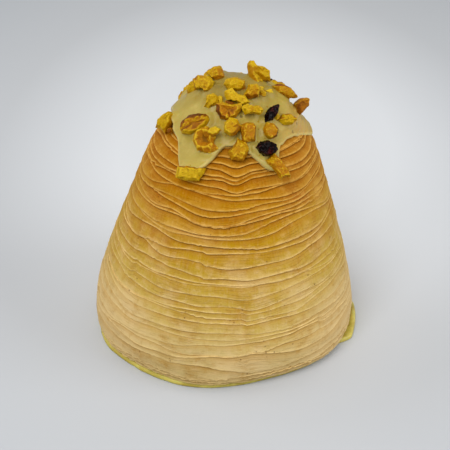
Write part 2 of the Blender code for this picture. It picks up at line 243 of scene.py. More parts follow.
class Graph:
    """Writes a node tree, one node a call."""

    def __init__(self, tree: NodeTree) -> None:
        """Start on an existing tree."""
        self.tree = tree

    def node(self, kind: str, inputs: dict[Any, Any] | None = None, **settings: Any) -> Node:
        """Place a node.

        Args:
            kind: The node's type name.
            inputs: Values or sockets for its inputs, by name or by number.
            settings: The node's own properties.

        Returns:
            The node.
        """
        placed = self.tree.nodes.new(kind)
        for name, value in settings.items():
            setattr(placed, name, value)
        self.feed(placed, inputs or {})
        return placed

    def feed(self, node: Node, inputs: dict[Any, Any]) -> None:
        """Link or set a node's inputs, by name or by number."""
        for key, value in inputs.items():
            if isinstance(value, NodeSocket):
                self.tree.links.new(value, node.inputs[key])
            else:
                node.inputs[key].default_value = value

    def out(self, kind: str, inputs: dict[Any, Any] | None = None, output: Any = 0,
            **settings: Any) -> NodeSocket:
        """Place a node and return one of its outputs."""
        return self.node(kind, inputs, **settings).outputs[output]

    def math(self, operation: str, *values: Any, clamp: bool = False) -> NodeSocket:
        """One Math node."""
        return self.out("ShaderNodeMath", dict(enumerate(values)), operation=operation, use_clamp=clamp)

    def plus(self, first: Any, second: Any) -> NodeSocket:
        """The sum of two numbers."""
        return self.math("ADD", first, second)

    def minus(self, first: Any, second: Any) -> NodeSocket:
        """The first number less the second."""
        return self.math("SUBTRACT", first, second)

    def times(self, first: Any, second: Any) -> NodeSocket:
        """The product of two numbers."""
        return self.math("MULTIPLY", first, second)

    def over(self, first: Any, second: Any) -> NodeSocket:
        """The first number over the second."""
        return self.math("DIVIDE", first, second)

    def vector(self, operation: str, *values: Any, output: Any = 0) -> NodeSocket:
        """One Vector Math node."""
        return self.out("ShaderNodeVectorMath", dict(enumerate(values)), output, operation=operation)

    def scaled(self, vector: Any, factor: Any) -> NodeSocket:
        """A vector times a number."""
        return self.out("ShaderNodeVectorMath", {0: vector, "Scale": factor}, operation="SCALE")

    def fit(self, value: Any, low: float, high: float, to_low: float = 0.0,
            to_high: float = 1.0) -> NodeSocket:
        """The value mapped smoothly from low..high to to_low..to_high."""
        return self.out(
            "ShaderNodeMapRange",
            {"Value": value, 1: low, 2: high, 3: to_low, 4: to_high},
            interpolation_type="SMOOTHSTEP",
        )

    def mix(self, factor: Any, first: Any, second: Any) -> NodeSocket:
        """A mix of two colours."""
        def rgba(value: Any) -> Any:
            """A colour with its fourth number, or the socket itself."""
            return value if isinstance(value, NodeSocket) else (*value[:3], 1)

        inputs = {0: factor, 6: rgba(first), 7: rgba(second)}
        return self.out("ShaderNodeMix", inputs, 2, data_type="RGBA")

    def layered(self, colour: Any, *layers: tuple) -> NodeSocket:
        """The colour under layers of paint.

        Args:
            colour: The colour to start from.
            layers: For each layer, what it follows, the low and the high end of that, how much
                the layer covers at each end, and its colour.

        Returns:
            The painted colour.
        """
        for value, low, high, least, most, paint in layers:
            colour = self.mix(self.fit(value, low, high, least, most), colour, paint)
        return colour

    def place(self) -> NodeSocket:
        """The place on the object, in metres."""
        return self.out("ShaderNodeTexCoord", output="Object")

    def noise(self, vector: Any, scale: float, detail: float = 2.0,
              roughness: float = 0.5) -> NodeSocket:
        """Noise from 0 to 1 with that many lumps a metre."""
        inputs = {"Vector": vector, "Scale": scale, "Detail": detail, "Roughness": roughness}
        return self.out("ShaderNodeTexNoise", inputs, "Fac")

    def dots(self, scale: float, size: tuple[float, float], where: Any) -> NodeSocket:
        """Specks at that scale, fading between two sizes, where the other value lets them be."""
        away = self.out("ShaderNodeTexVoronoi", {"Vector": self.place(), "Scale": scale}, "Distance")
        return self.times(self.fit(away, *size, 1.0, 0.0), where)

    def ramp(self, factor: Any, stops: Sequence[tuple[float, Colour]]) -> NodeSocket:
        """A colour ramp through these stops."""
        placed = self.node("ShaderNodeValToRGB", {"Fac": factor})
        elements = placed.color_ramp.elements
        while len(elements) < len(stops):
            elements.new(0.5)
        for element, (position, colour) in zip(elements, stops):
            element.position = position
            element.color = (*colour, 1)
        return placed.outputs[0]

    def attribute(self, name: str, output: Any = "Fac") -> NodeSocket:
        """A mesh attribute, read in a material."""
        return self.out("ShaderNodeAttribute", None, output, attribute_name=name)


class ShapeTree(Graph):
    """A Geometry Nodes tree with named inputs, which ends in Realize Instances and Set Material."""

    SOCKETS = {
        "float": "NodeSocketFloat", "int": "NodeSocketInt", "vector": "NodeSocketVector",
        "object": "NodeSocketObject", "material": "NodeSocketMaterial",
    }

    def __init__(self, name: str, **inputs: str) -> None:
        """Make the tree.

        Args:
            name: The tree's name.
            inputs: The kind of each named input, with _ for a space in its name.
        """
        super().__init__(bpy.data.node_groups.new(name, "GeometryNodeTree"))
        face = self.tree.interface
        face.new_socket(name="Geometry", in_out="INPUT", socket_type="NodeSocketGeometry")
        face.new_socket(name="Geometry", in_out="OUTPUT", socket_type="NodeSocketGeometry")
        self.keys = {}
        for key, kind in (inputs | {"Material": "material"}).items():
            socket = face.new_socket(name=key.replace("_", " "), in_out="INPUT",
                                     socket_type=self.SOCKETS[kind])
            self.keys[key] = socket.identifier
        self.source = self.node("NodeGroupInput")

    def given(self, key: str) -> NodeSocket:
        """The value of a named input inside the tree."""
        return self.source.outputs[key.replace("_", " ")]

    def read(self, name: str, data_type: str = "FLOAT") -> NodeSocket:
        """A named attribute inside the tree."""
        return self.out("GeometryNodeInputNamedAttribute", {"Name": name}, data_type=data_type)

    def store(self, geometry: Any, name: str, value: Any, data_type: str = "FLOAT") -> NodeSocket:
        """The geometry with a point attribute of that name."""
        return self.out("GeometryNodeStoreNamedAttribute",
                        {"Geometry": geometry, "Name": name, "Value": value},
                        data_type=data_type, domain="POINT")

    def moved(self, geometry: Any, offset: Any) -> NodeSocket:
        """The geometry with each point moved by the offset."""
        return self.out("GeometryNodeSetPosition", {"Geometry": geometry, "Offset": offset})

    def swell(self, size: Any, height: Any, seed: Any, detail: float = 2.0) -> NodeSocket:
        """An offset along the surface's normal that follows noise of that lump size."""
        place = self.out("GeometryNodeInputPosition")
        scale = self.over(1.0, size)
        noise = self.out("ShaderNodeTexNoise",
                         {"Vector": place, "W": seed, "Scale": scale, "Detail": detail},
                         noise_dimensions="4D")
        high = self.times(self.minus(noise, 0.5), height)
        return self.scaled(self.out("GeometryNodeInputNormal"), high)

    def roughened(self, geometry: Any, kind: str, detail: float = 2.0) -> NodeSocket:
        """The geometry with bumps of the size and height that the inputs of that kind give."""
        size, height = self.given(kind + "_size"), self.given(kind + "_height")
        return self.moved(geometry, self.swell(size, height, self.given("Seed"), detail))

    def blurred(self, steps: Any) -> NodeSocket:
        """Each point's place, evened out with its neighbours'."""
        place = self.out("GeometryNodeInputPosition")
        inputs = {"Value": place, "Iterations": steps}
        return self.out("GeometryNodeBlurAttribute", inputs, data_type="FLOAT_VECTOR")

    def finish(self, geometry: Any) -> None:
        """Close the tree: smooth shading, Realize Instances and Set Material."""
        smooth = self.out("GeometryNodeSetShadeSmooth", {"Geometry": geometry, "Shade Smooth": True})
        whole = self.out("GeometryNodeRealizeInstances", {"Geometry": smooth})
        inputs = {"Geometry": whole, "Material": self.given("Material")}
        painted = self.out("GeometryNodeSetMaterial", inputs)
        self.node("NodeGroupOutput", {0: painted})

    def grow(self, name: str, base: Mesh, **values: Any) -> Object:
        """Run the tree on a mesh and keep the result as a plain mesh object.

        Args:
            name: The new piece's name.
            base: The mesh that goes in.
            values: The tree's inputs.

        Returns:
            The piece, at the origin, with no modifier left.
        """
        carrier = bpy.data.objects.new(name + "_carrier", base)
        bpy.context.scene.collection.objects.link(carrier)
        modifier = carrier.modifiers.new("shape", "NODES")
        modifier.node_group = self.tree
        for key, value in values.items():
            modifier[self.keys[key]] = value
        bpy.context.view_layer.update()
        graph = bpy.context.evaluated_depsgraph_get()
        mesh = bpy.data.meshes.new_from_object(
            carrier.evaluated_get(graph), preserve_all_data_layers=True, depsgraph=graph)
        bpy.data.objects.remove(carrier, do_unlink=True)
        mesh.name = name
        piece = bpy.data.objects.new(name, mesh)
        bpy.context.scene.collection.objects.link(piece)
        return piece


def number_points(mesh: Mesh, name: str, values: Any, domain: str = "POINT") -> None:
    """Give a mesh a float attribute of that name."""
    layer = mesh.attributes.new(name, "FLOAT", domain)
    layer.data.foreach_set("value", np.asarray(values, np.float32))


def mesh_of(name: str, points: Array, faces: Sequence[Sequence[int]], edges: Sequence = (),
            **attributes: Array) -> Mesh:
    """A mesh from points and faces, with float or vector attributes on its points."""
    mesh = bpy.data.meshes.new(name)
    mesh.from_pydata([tuple(p) for p in np.asarray(points, float)], list(edges), list(faces))
    for key, values in attributes.items():
        values = np.asarray(values, np.float32)
        kind = "FLOAT_VECTOR" if values.ndim == 2 else "FLOAT"
        layer = mesh.attributes.new(key, kind, "POINT")
        layer.data.foreach_set("vector" if values.ndim == 2 else "value", values.ravel())
    return mesh


def grid_faces(rows: int, columns: int) -> list[tuple[int, ...]]:
    """The quads of a grid of points, row by row, which closes on itself along each row."""
    faces = []
    for row in range(rows - 1):
        for column in range(columns):
            here, after = row * columns, row * columns + (column + 1) % columns
            faces.append((here + column, here + column + columns, after + columns, after))
    return faces


def tipped_faces(rows: int, columns: int) -> list[tuple[int, ...]]:
    """The faces of a ring of rows whose first and last rows close on a tip each.

    The two tips are the points after the rows' own.
    """
    faces = grid_faces(rows, columns)
    first_tip, last_row = rows * columns, (rows - 1) * columns
    for column in range(columns):
        after = (column + 1) % columns
        faces.append((first_tip, column, after))
        faces.append((first_tip + 1, last_row + after, last_row + column))
    return faces


def piece_of(mesh: Mesh, material: Material) -> Object:
    """An object for a mesh, smooth, closed outwards and with its material."""
    body = bmesh.new()
    body.from_mesh(mesh)
    bmesh.ops.recalc_face_normals(body, faces=body.faces)
    body.to_mesh(mesh)
    body.free()
    mesh.shade_smooth()
    mesh.materials.append(material)
    piece = bpy.data.objects.new(mesh.name, mesh)
    bpy.context.scene.collection.objects.link(piece)
    return piece


def dress(piece: Object, slot: str, *nodes: str) -> Object:
    """Seat a piece in the frame: it rides on the body and stands for the nodes."""
    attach(piece, BODY)
    if nodes:
        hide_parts(*nodes)
    LOG.info("%s: %d faces", piece.name, len(piece.data.polygons))
    return piece


# ---------------------------------------------------------------- finishes


class Finish:
    """A material that is painted by its own paint method."""

    name: str

    def material(self) -> Material:
        """Make the material."""
        made = bpy.data.materials.new(self.name)
        made.use_nodes = True
        graph = Graph(made.node_tree)
        shader = made.node_tree.nodes["Principled BSDF"]
        self.paint(graph, shader)
        return made

    def paint(self, graph: Graph, shader: Node) -> None:
        """Set the shader's sockets and link its colour, roughness and bump."""
        raise NotImplementedError

    @staticmethod
    def relief(graph: Graph, shader: Node, height: Any, strength: float, distance: float) -> None:
        """Link a bump to the shader."""
        inputs = {"Height": height, "Strength": strength, "Distance": distance}
        bump = graph.out("ShaderNodeBump", inputs)
        graph.tree.links.new(bump, shader.inputs["Normal"])

    @staticmethod
    def wire(graph: Graph, shader: Node, **sockets: Any) -> None:
        """Link or set the shader's sockets, with _ for a space in a socket's name."""
        graph.feed(shader, {key.replace("_", " "): value for key, value in sockets.items()})


@dataclass(frozen=True)
class PastryFinish(Finish):
    """Baked leaf: pale at the foot, golden and orange higher up, with light lips that are partly a
    painted highlight, painted shade under each lip and painted light on the flanks.

    The leaf attribute holds the distances to the leaf's root, to its lip and along it.
    """

    name: str = "baked_pastry"
    stops: tuple = (
        (0.00, (188, 164, 106)), (0.14, (194, 170, 111)), (0.30, (185, 156, 67)),
        (0.45, (177, 142, 36)), (0.58, (173, 131, 4)), (0.72, (167, 113, 0)), (0.95, (156, 98, 0)),
    )
    # The toasted colours also paint the shade where a leaf runs under the lip above.
    toasted: Colour = linear(158, 88, 0)
    toasted_low: Colour = linear(168, 122, 42)
    bloom: Colour = linear(210, 182, 130)
    bloom_high: Colour = linear(208, 160, 70)
    # The lips: a paler thin edge, and a painted highlight where a lip stands out.
    lip_edge_and_highlight_high: Colour = linear(208, 159, 72)
    lip_edge_and_highlight_low: Colour = linear(230, 199, 134)
    # Painted shade in the crevice under each lip, low down and higher up.
    painted_crevice_shade: Colour = linear(132, 70, 0)
    painted_crevice_shade_low: Colour = linear(148, 104, 34)
    speck: Colour = linear(90, 54, 18)
    height: float = 0.131
    upper_from: float = 0.045  # the tones of the upper part set in here
    upper_whole: float = 0.095
    sway: float = 0.045  # how far the tones wander up and down
    # Painted light on the flanks, in the bloom colour, across and then by height: from, to, and the
    # share at each.
    painted_light_flanks: tuple = (
        ((0.020, 0.058, 0.0, 0.75), (0.028, 0.052, 1.0, 0.0)),
        ((0.018, 0.045, 0.0, 0.08), (0.045, 0.060, 0.0, 1.0)),
    )
    lumps: tuple = (26, 85, 210, 620)  # lumps a metre in its noises, from the broadest on
    patch_lumps: float = 48
    lip_lumps: float = 330
    streaks: tuple = (1300.0, 150.0)  # lumps a metre along the leaf and across it
    creases: tuple = (130.0, 1500.0)
    hairs: tuple = (36.0, 480.0)
    specks: tuple = (330.0, (0.10, 0.18))  # their scale and size
    # how far the painted shade under a lip reaches down the leaf below
    painted_crevice_shade_reach: float = 1.1 * MM
    lip_band: tuple[float, float] = (0.5 * MM, 0.7 * MM)  # the width of the light lip, paler edge and painted highlight, low and high

    def paint(self, graph: Graph, shader: Node) -> None:
        """Colour by height, then toast, bloom, painted light on the flanks, painted shade under the
        lips, light lips with a painted highlight, and specks.
        """
        place = graph.place()
        high = graph.out("ShaderNodeSeparateXYZ", {0: place}, "Z")
        across = graph.math("ABSOLUTE", graph.out("ShaderNodeSeparateXYZ", {0: place}, "X"))
        leaf = graph.node("ShaderNodeSeparateXYZ", {0: graph.attribute("leaf", "Vector")})
        from_root, to_lip, along = leaf.outputs[0], leaf.outputs[1], leaf.outputs[2]
        toast = graph.attribute("toast")
        upper = graph.fit(high, self.upper_from, self.upper_whole)
        bloom = graph.mix(upper, self.bloom, self.bloom_high)
        toasted = graph.mix(upper, self.toasted_low, self.toasted)

        broad = graph.noise(place, self.lumps[0], 3)
        middle = graph.noise(place, self.lumps[1], 3, 0.6)
        small = graph.noise(place, self.lumps[2], 4, 0.68)
        fine = graph.noise(place, self.lumps[3], 3, 0.65)
        streak, crease, hair = (
            self.drawn(graph, along, from_root, *lumps)
            for lumps in (self.streaks, self.creases, self.hairs))
        hair = graph.math("ABSOLUTE", graph.minus(hair, 0.5))
        hair = graph.times(graph.fit(hair, 0.0, 0.035, 1.0, 0.0), graph.fit(middle, 0.36, 0.56))
        cloud = graph.minus(broad, 0.5)

        share = graph.over(graph.plus(high, graph.times(cloud, self.sway)), self.height)
        colour = graph.ramp(share, [(at, linear(*rgb)) for at, rgb in self.stops])
        brown = graph.math("MULTIPLY", graph.fit(middle, 0.42, 0.72), toast, clamp=True)
        colour = graph.mix(graph.times(brown, graph.fit(high, 0.0, 0.09, 0.5, 0.9)), colour, toasted)
        clouded = graph.minus(toast, graph.times(cloud, 1.6))
        colour = graph.layered(colour, (clouded, 0.2, -1.1, 0.0, 0.62, bloom))
        # Painted light: the flanks lighter, in the bloom colour.
        for sideways, upward in self.painted_light_flanks:
            pale = graph.times(graph.fit(across, *sideways), graph.fit(high, *upward))
            colour = graph.mix(pale, colour, self.bloom)
        patches = graph.fit(graph.noise(place, self.patch_lumps, 5, 0.7), 0.44, 0.68)
        patches = graph.times(patches, graph.minus(0.62, graph.times(upper, 0.42)))
        colour = graph.mix(patches, colour, bloom)
        painted_tuck_shade = graph.over(from_root, graph.plus(graph.plus(from_root, to_lip), 0.2 * MM))
        colour = graph.layered(
            colour,
            (small, 0.52, 0.72, 0.0, 0.5, bloom), (small, 0.30, 0.48, 0.42, 0.0, toasted),
            (streak, 0.4, 0.75, 0.0, 0.16, bloom), (crease, 0.24, 0.42, 0.40, 0.0, toasted),
            (fine, 0.55, 0.75, 0.0, 0.3, bloom),
        )
        colour = graph.mix(graph.times(hair, 0.26), colour, toasted)
        # Painted shade: each leaf darker, in the toasted colour, where it runs under the lip above.
        colour = graph.layered(colour, (painted_tuck_shade, 0.0, 0.8, 0.34, 0.0, toasted))
        # Painted shade in the crevice under each lip, stronger where the lip above stands out further.
        depth = graph.math("EXPONENT", graph.times(from_root, -1 / self.painted_crevice_shade_reach))
        shade = graph.times(depth, graph.fit(graph.attribute("under"), 0.05, 0.8, 0.0, 0.9))
        colour = graph.mix(shade, colour, graph.mix(upper, self.painted_crevice_shade_low, self.painted_crevice_shade))
        # Light lips: partly a paler edge, partly a painted highlight that grows where the lip stands
        # out further.
        band = graph.over(to_lip, graph.fit(high, 0.05, 0.1, *self.lip_band))
        edge = graph.math("MAXIMUM", graph.attribute("lip"), graph.fit(band, 0.2, 1.0, 0.85, 0.0))
        patchy = graph.noise(place, self.lip_lumps, 2, 0.6)
        edge = graph.times(edge, graph.fit(patchy, 0.3, 0.62, 0.3, 0.95))
        edge = graph.times(edge, graph.fit(graph.attribute("shown"), 0.05, 0.8, 0.45, 1.0))
        colour = graph.mix(edge, colour, graph.mix(upper, self.lip_edge_and_highlight_low, self.lip_edge_and_highlight_high))
        dots = graph.dots(*self.specks, graph.fit(middle, 0.54, 0.64))
        colour = graph.mix(graph.times(dots, 0.6), colour, self.speck)

        grain = graph.plus(graph.times(fine, 0.5), graph.times(crease, 0.7))
        grain = graph.minus(graph.plus(grain, graph.times(streak, 0.3)), graph.times(hair, 0.7))
        self.relief(graph, shader, grain, 0.6, 0.35 * MM)
        self.wire(graph, shader, Base_Color=colour, Roughness=graph.fit(middle, 0.3, 0.7, 0.55, 0.75),
                  Specular_IOR_Level=0.04)

    @staticmethod
    def drawn(graph: Graph, along: Any, across: Any, fine_along: float, fine_across: float) -> Any:
        """Noise drawn out along the leaf or across it."""
        place = graph.out("ShaderNodeCombineXYZ", {
            0: graph.times(along, fine_along), 1: graph.times(across, fine_across)})
        return graph.noise(place, 1.0, 2)


@dataclass(frozen=True)
class GlazeFinish(Finish):
    """Cream glaze: a pale olive beige with a satin skin and a few flecks."""

    name: str = "cream_glaze"
    body: Colour = linear(170, 149, 62)
    pale: Colour = linear(188, 168, 88)
    deep: Colour = linear(158, 136, 52)
    shaded: Colour = linear(128, 106, 44)
    fleck: Colour = linear(92, 74, 34)
    lit: Colour = linear(206, 190, 120)
    through: Colour = linear(187, 150, 73)
    crown: float = 128 * MM  # above this height the glaze is darker: painted shade on its top
    lumps: tuple = (55, 130, 300)  # lumps a metre in its noises, from the broadest on
    flecks: tuple = (150.0, (0.08, 0.16))  # their scale and size

    def paint(self, graph: Graph, shader: Node) -> None:
        """Soft tones, a painted shade on the crown, the thin part, a painted highlight along the rim
        and flecks.
        """
        place = graph.place()
        broad = graph.noise(place, self.lumps[0], 3)
        cloud = graph.noise(place, self.lumps[1], 4, 0.62)
        fine = graph.noise(place, self.lumps[2], 3, 0.6)
        height = graph.out("ShaderNodeSeparateXYZ", {0: place}, "Z")
        colour = graph.mix(graph.fit(broad, 0.35, 0.65), self.deep, self.body)
        colour = graph.layered(
            colour,
            (cloud, 0.5, 0.72, 0.0, 0.6, self.pale), (cloud, 0.46, 0.3, 0.0, 0.5, self.deep),
            (fine, 0.5, 0.8, 0.0, 0.4, self.pale),
            # painted shade on the top of the cap
            (height, self.crown - 6 * MM, self.crown + 3 * MM, 0.0, 0.6, self.shaded),
        )
        thin = graph.times(graph.attribute("thin"), graph.fit(broad, 0.3, 0.6, 0.4, 0.9))
        colour = graph.mix(thin, colour, self.through)
        # A painted highlight along the glaze's rim.
        colour = graph.mix(graph.times(graph.attribute("brink"), 0.6), colour, self.lit)
        dots = graph.dots(*self.flecks, graph.fit(broad, 0.46, 0.56))
        colour = graph.mix(graph.times(dots, 0.7), colour, self.fleck)
        self.relief(graph, shader, fine, 0.16, 0.25 * MM)
        self.wire(graph, shader, Base_Color=colour, Roughness=graph.fit(fine, 0.2, 0.8, 0.34, 0.5),
                  Specular_IOR_Level=0.22, Subsurface_Weight=0.12, Subsurface_Scale=0.002,
                  Coat_Weight=0.14, Coat_Roughness=0.22)


@dataclass(frozen=True)
class NutFinish(Finish):
    """Chopped nut: granular yellow flesh with brown skin where a piece still has it, the skin partly
    painted shade on the piece's shaded side.
    """

    name: str = "chopped_nut"
    flesh: Colour = linear(178, 140, 0)
    # Lighter flesh, also the painted light on the ridges.
    light: Colour = linear(202, 168, 30)
    rich: Colour = linear(158, 98, 0)
    # The painted shade in the hollows.
    deep: Colour = linear(116, 74, 0)
    # The skin colours, also the painted shade on a piece's shaded side.
    skin: Colour = linear(128, 70, 2)
    dark_skin: Colour = linear(74, 32, 2)
    coarse: float = 260  # lumps a metre
    fine: float = 1100

    def paint(self, graph: Graph, shader: Node) -> None:
        """Flesh by tone, facet and grain, painted shade in the hollows and painted light on the ridges,
        then the skin, which is partly painted shade.
        """
        place = graph.place()
        lumps = graph.noise(place, self.coarse, 3, 0.65)
        grain = graph.noise(place, self.fine, 3, 0.7)
        richness = graph.plus(graph.times(lumps, 0.9), graph.attribute("tone"))
        richness = graph.plus(richness, graph.times(graph.attribute("facet"), 0.3))
        cavity = graph.attribute("cavity")
        skin = graph.mix(graph.fit(lumps, 0.35, 0.65), self.skin, self.dark_skin)
        covered = graph.plus(graph.attribute("skin"), graph.times(graph.minus(lumps, 0.5), 0.3))
        colour = graph.mix(graph.fit(richness, 0.25, 1.15), self.flesh, self.rich)
        colour = graph.layered(
            colour,
            (richness, 0.3, -0.5, 0.0, 1.0, self.light), (grain, 0.5, 0.74, 0.0, 0.45, self.light),
            # Painted shade in the hollows, in the deep colour, and painted light on the ridges, in the
            # light colour.
            (grain, 0.48, 0.28, 0.0, 0.45, self.rich), (cavity, 0.05, 1.3, 0.0, 0.8, self.deep),
            (cavity, -0.25, -1.4, 0.0, 0.7, self.light), (covered, 0.08, 0.45, 0.0, 0.75, self.rich),
            # the skin: its own brown, and partly painted shade on the shaded side
            (covered, 0.35, 0.85, 0.0, 0.9, skin),
        )
        height = graph.plus(grain, graph.times(lumps, 0.8))
        self.relief(graph, shader, height, 0.5, 0.3 * MM)
        self.wire(graph, shader, Base_Color=colour, Roughness=graph.fit(grain, 0.2, 0.8, 0.38, 0.6),
                  Specular_IOR_Level=0.1, Subsurface_Weight=0.06, Subsurface_Scale=0.001)


@dataclass(frozen=True)
class RaisinFinish(Finish):
    """Raisin skin: nearly black, a little purple, with a shine on its folds."""

    name: str = "raisin_skin"
    dark: Colour = linear(7, 2, 2)
    # Its purple, also the painted light on the ridges.
    purple: Colour = linear(62, 14, 12)
    coarse: float = 320  # lumps a metre

    def paint(self, graph: Graph, shader: Node) -> None:
        """Dark folds, with purple by noise as its own colour and purple on the ridges as painted light.
        """
        place = graph.place()
        lumps = graph.noise(place, self.coarse, 3, 0.6)
        colour = graph.mix(graph.fit(lumps, 0.5, 0.8), self.dark, self.purple)
        # Painted light: purple on the ridges.
        colour = graph.layered(colour, (graph.attribute("cavity"), -0.4, -2.5, 0.0, 0.6, self.purple))
        self.relief(graph, shader, lumps, 0.4, 0.4 * MM)
        self.wire(graph, shader, Base_Color=colour, Roughness=graph.fit(lumps, 0.2, 0.8, 0.08, 0.16),
                  Specular_IOR_Level=0.06)


@dataclass(frozen=True)
class CreamFinish(Finish):
    """The filling's rim: a yellow green cream, smooth and a little moist."""

    name: str = "filling_cream"
    body: Colour = linear(196, 182, 84)
    deep: Colour = linear(168, 150, 52)
    coarse: float = 140  # lumps a metre
    fine: float = 500

    def paint(self, graph: Graph, shader: Node) -> None:
        """Two soft tones."""
        place = graph.place()
        tone = graph.noise(place, self.coarse, 3, 0.6)
        colour = graph.mix(graph.fit(tone, 0.35, 0.65), self.deep, self.body)
        self.relief(graph, shader, graph.noise(place, self.fine, 2), 0.25, 0.3 * MM)
        self.wire(graph, shader, Base_Color=colour, Roughness=0.42, Specular_IOR_Level=0.45,
                  Subsurface_Weight=0.15, Subsurface_Scale=0.002)


@dataclass(frozen=True)
class FloorFinish(Finish):
    """A plain matt floor with a painted pool of light, a little darker away from the object."""

    name: str = "studio_floor"
    painted_light_pool: Colour = linear(211, 214, 218)
    colour: Colour = linear(186, 189, 193)
    edge: Colour = linear(178, 182, 187)
    middle: tuple[float, float, float] = (0.02, 0.2, 0)  # of the painted pool of light
    stretch: tuple[float, float, float] = (1, 0.6, 1)

    def paint(self, graph: Graph, shader: Node) -> None:
        """Three pale greys, by the distance from a point behind the object: a painted pool of light."""
        place = graph.place()
        away = graph.vector("MULTIPLY", graph.vector("SUBTRACT", place, self.middle), self.stretch)
        away = graph.vector("LENGTH", away, output="Value")
        colour = graph.ramp(away, [(0.09, self.painted_light_pool), (0.17, self.colour), (0.26, self.edge)])
        self.wire(graph, shader, Base_Color=colour, Roughness=0.9, Specular_IOR_Level=0.1)


# ---------------------------------------------------------------- the wound pastry


class QuirkKind(Enum):
    """What a local quirk of the pastry does."""

    DIP = "the lips run lower"
    TEAR = "the lips are ragged"
    SEAM = "the lips jog across an upright line"
    FLAT = "the leaf lies flat, with low lips"
    BROWN = "the leaf is toasted, or pale where its amount is below 0"


@dataclass(frozen=True)
class Quirk:
    """A local quirk of the pastry: its place (degrees, mm), its half widths and its amount."""

    azimuth: float
    arc: float
    wide: float
    tall: float
    amount: float = 1.0

    def cover(self, azimuth: Array, arc: Array) -> Array:
        """How strongly the quirk acts at these places, times its amount."""
        return self.amount * patch(azimuth, arc, (self.azimuth, self.arc), (self.wide, self.tall))


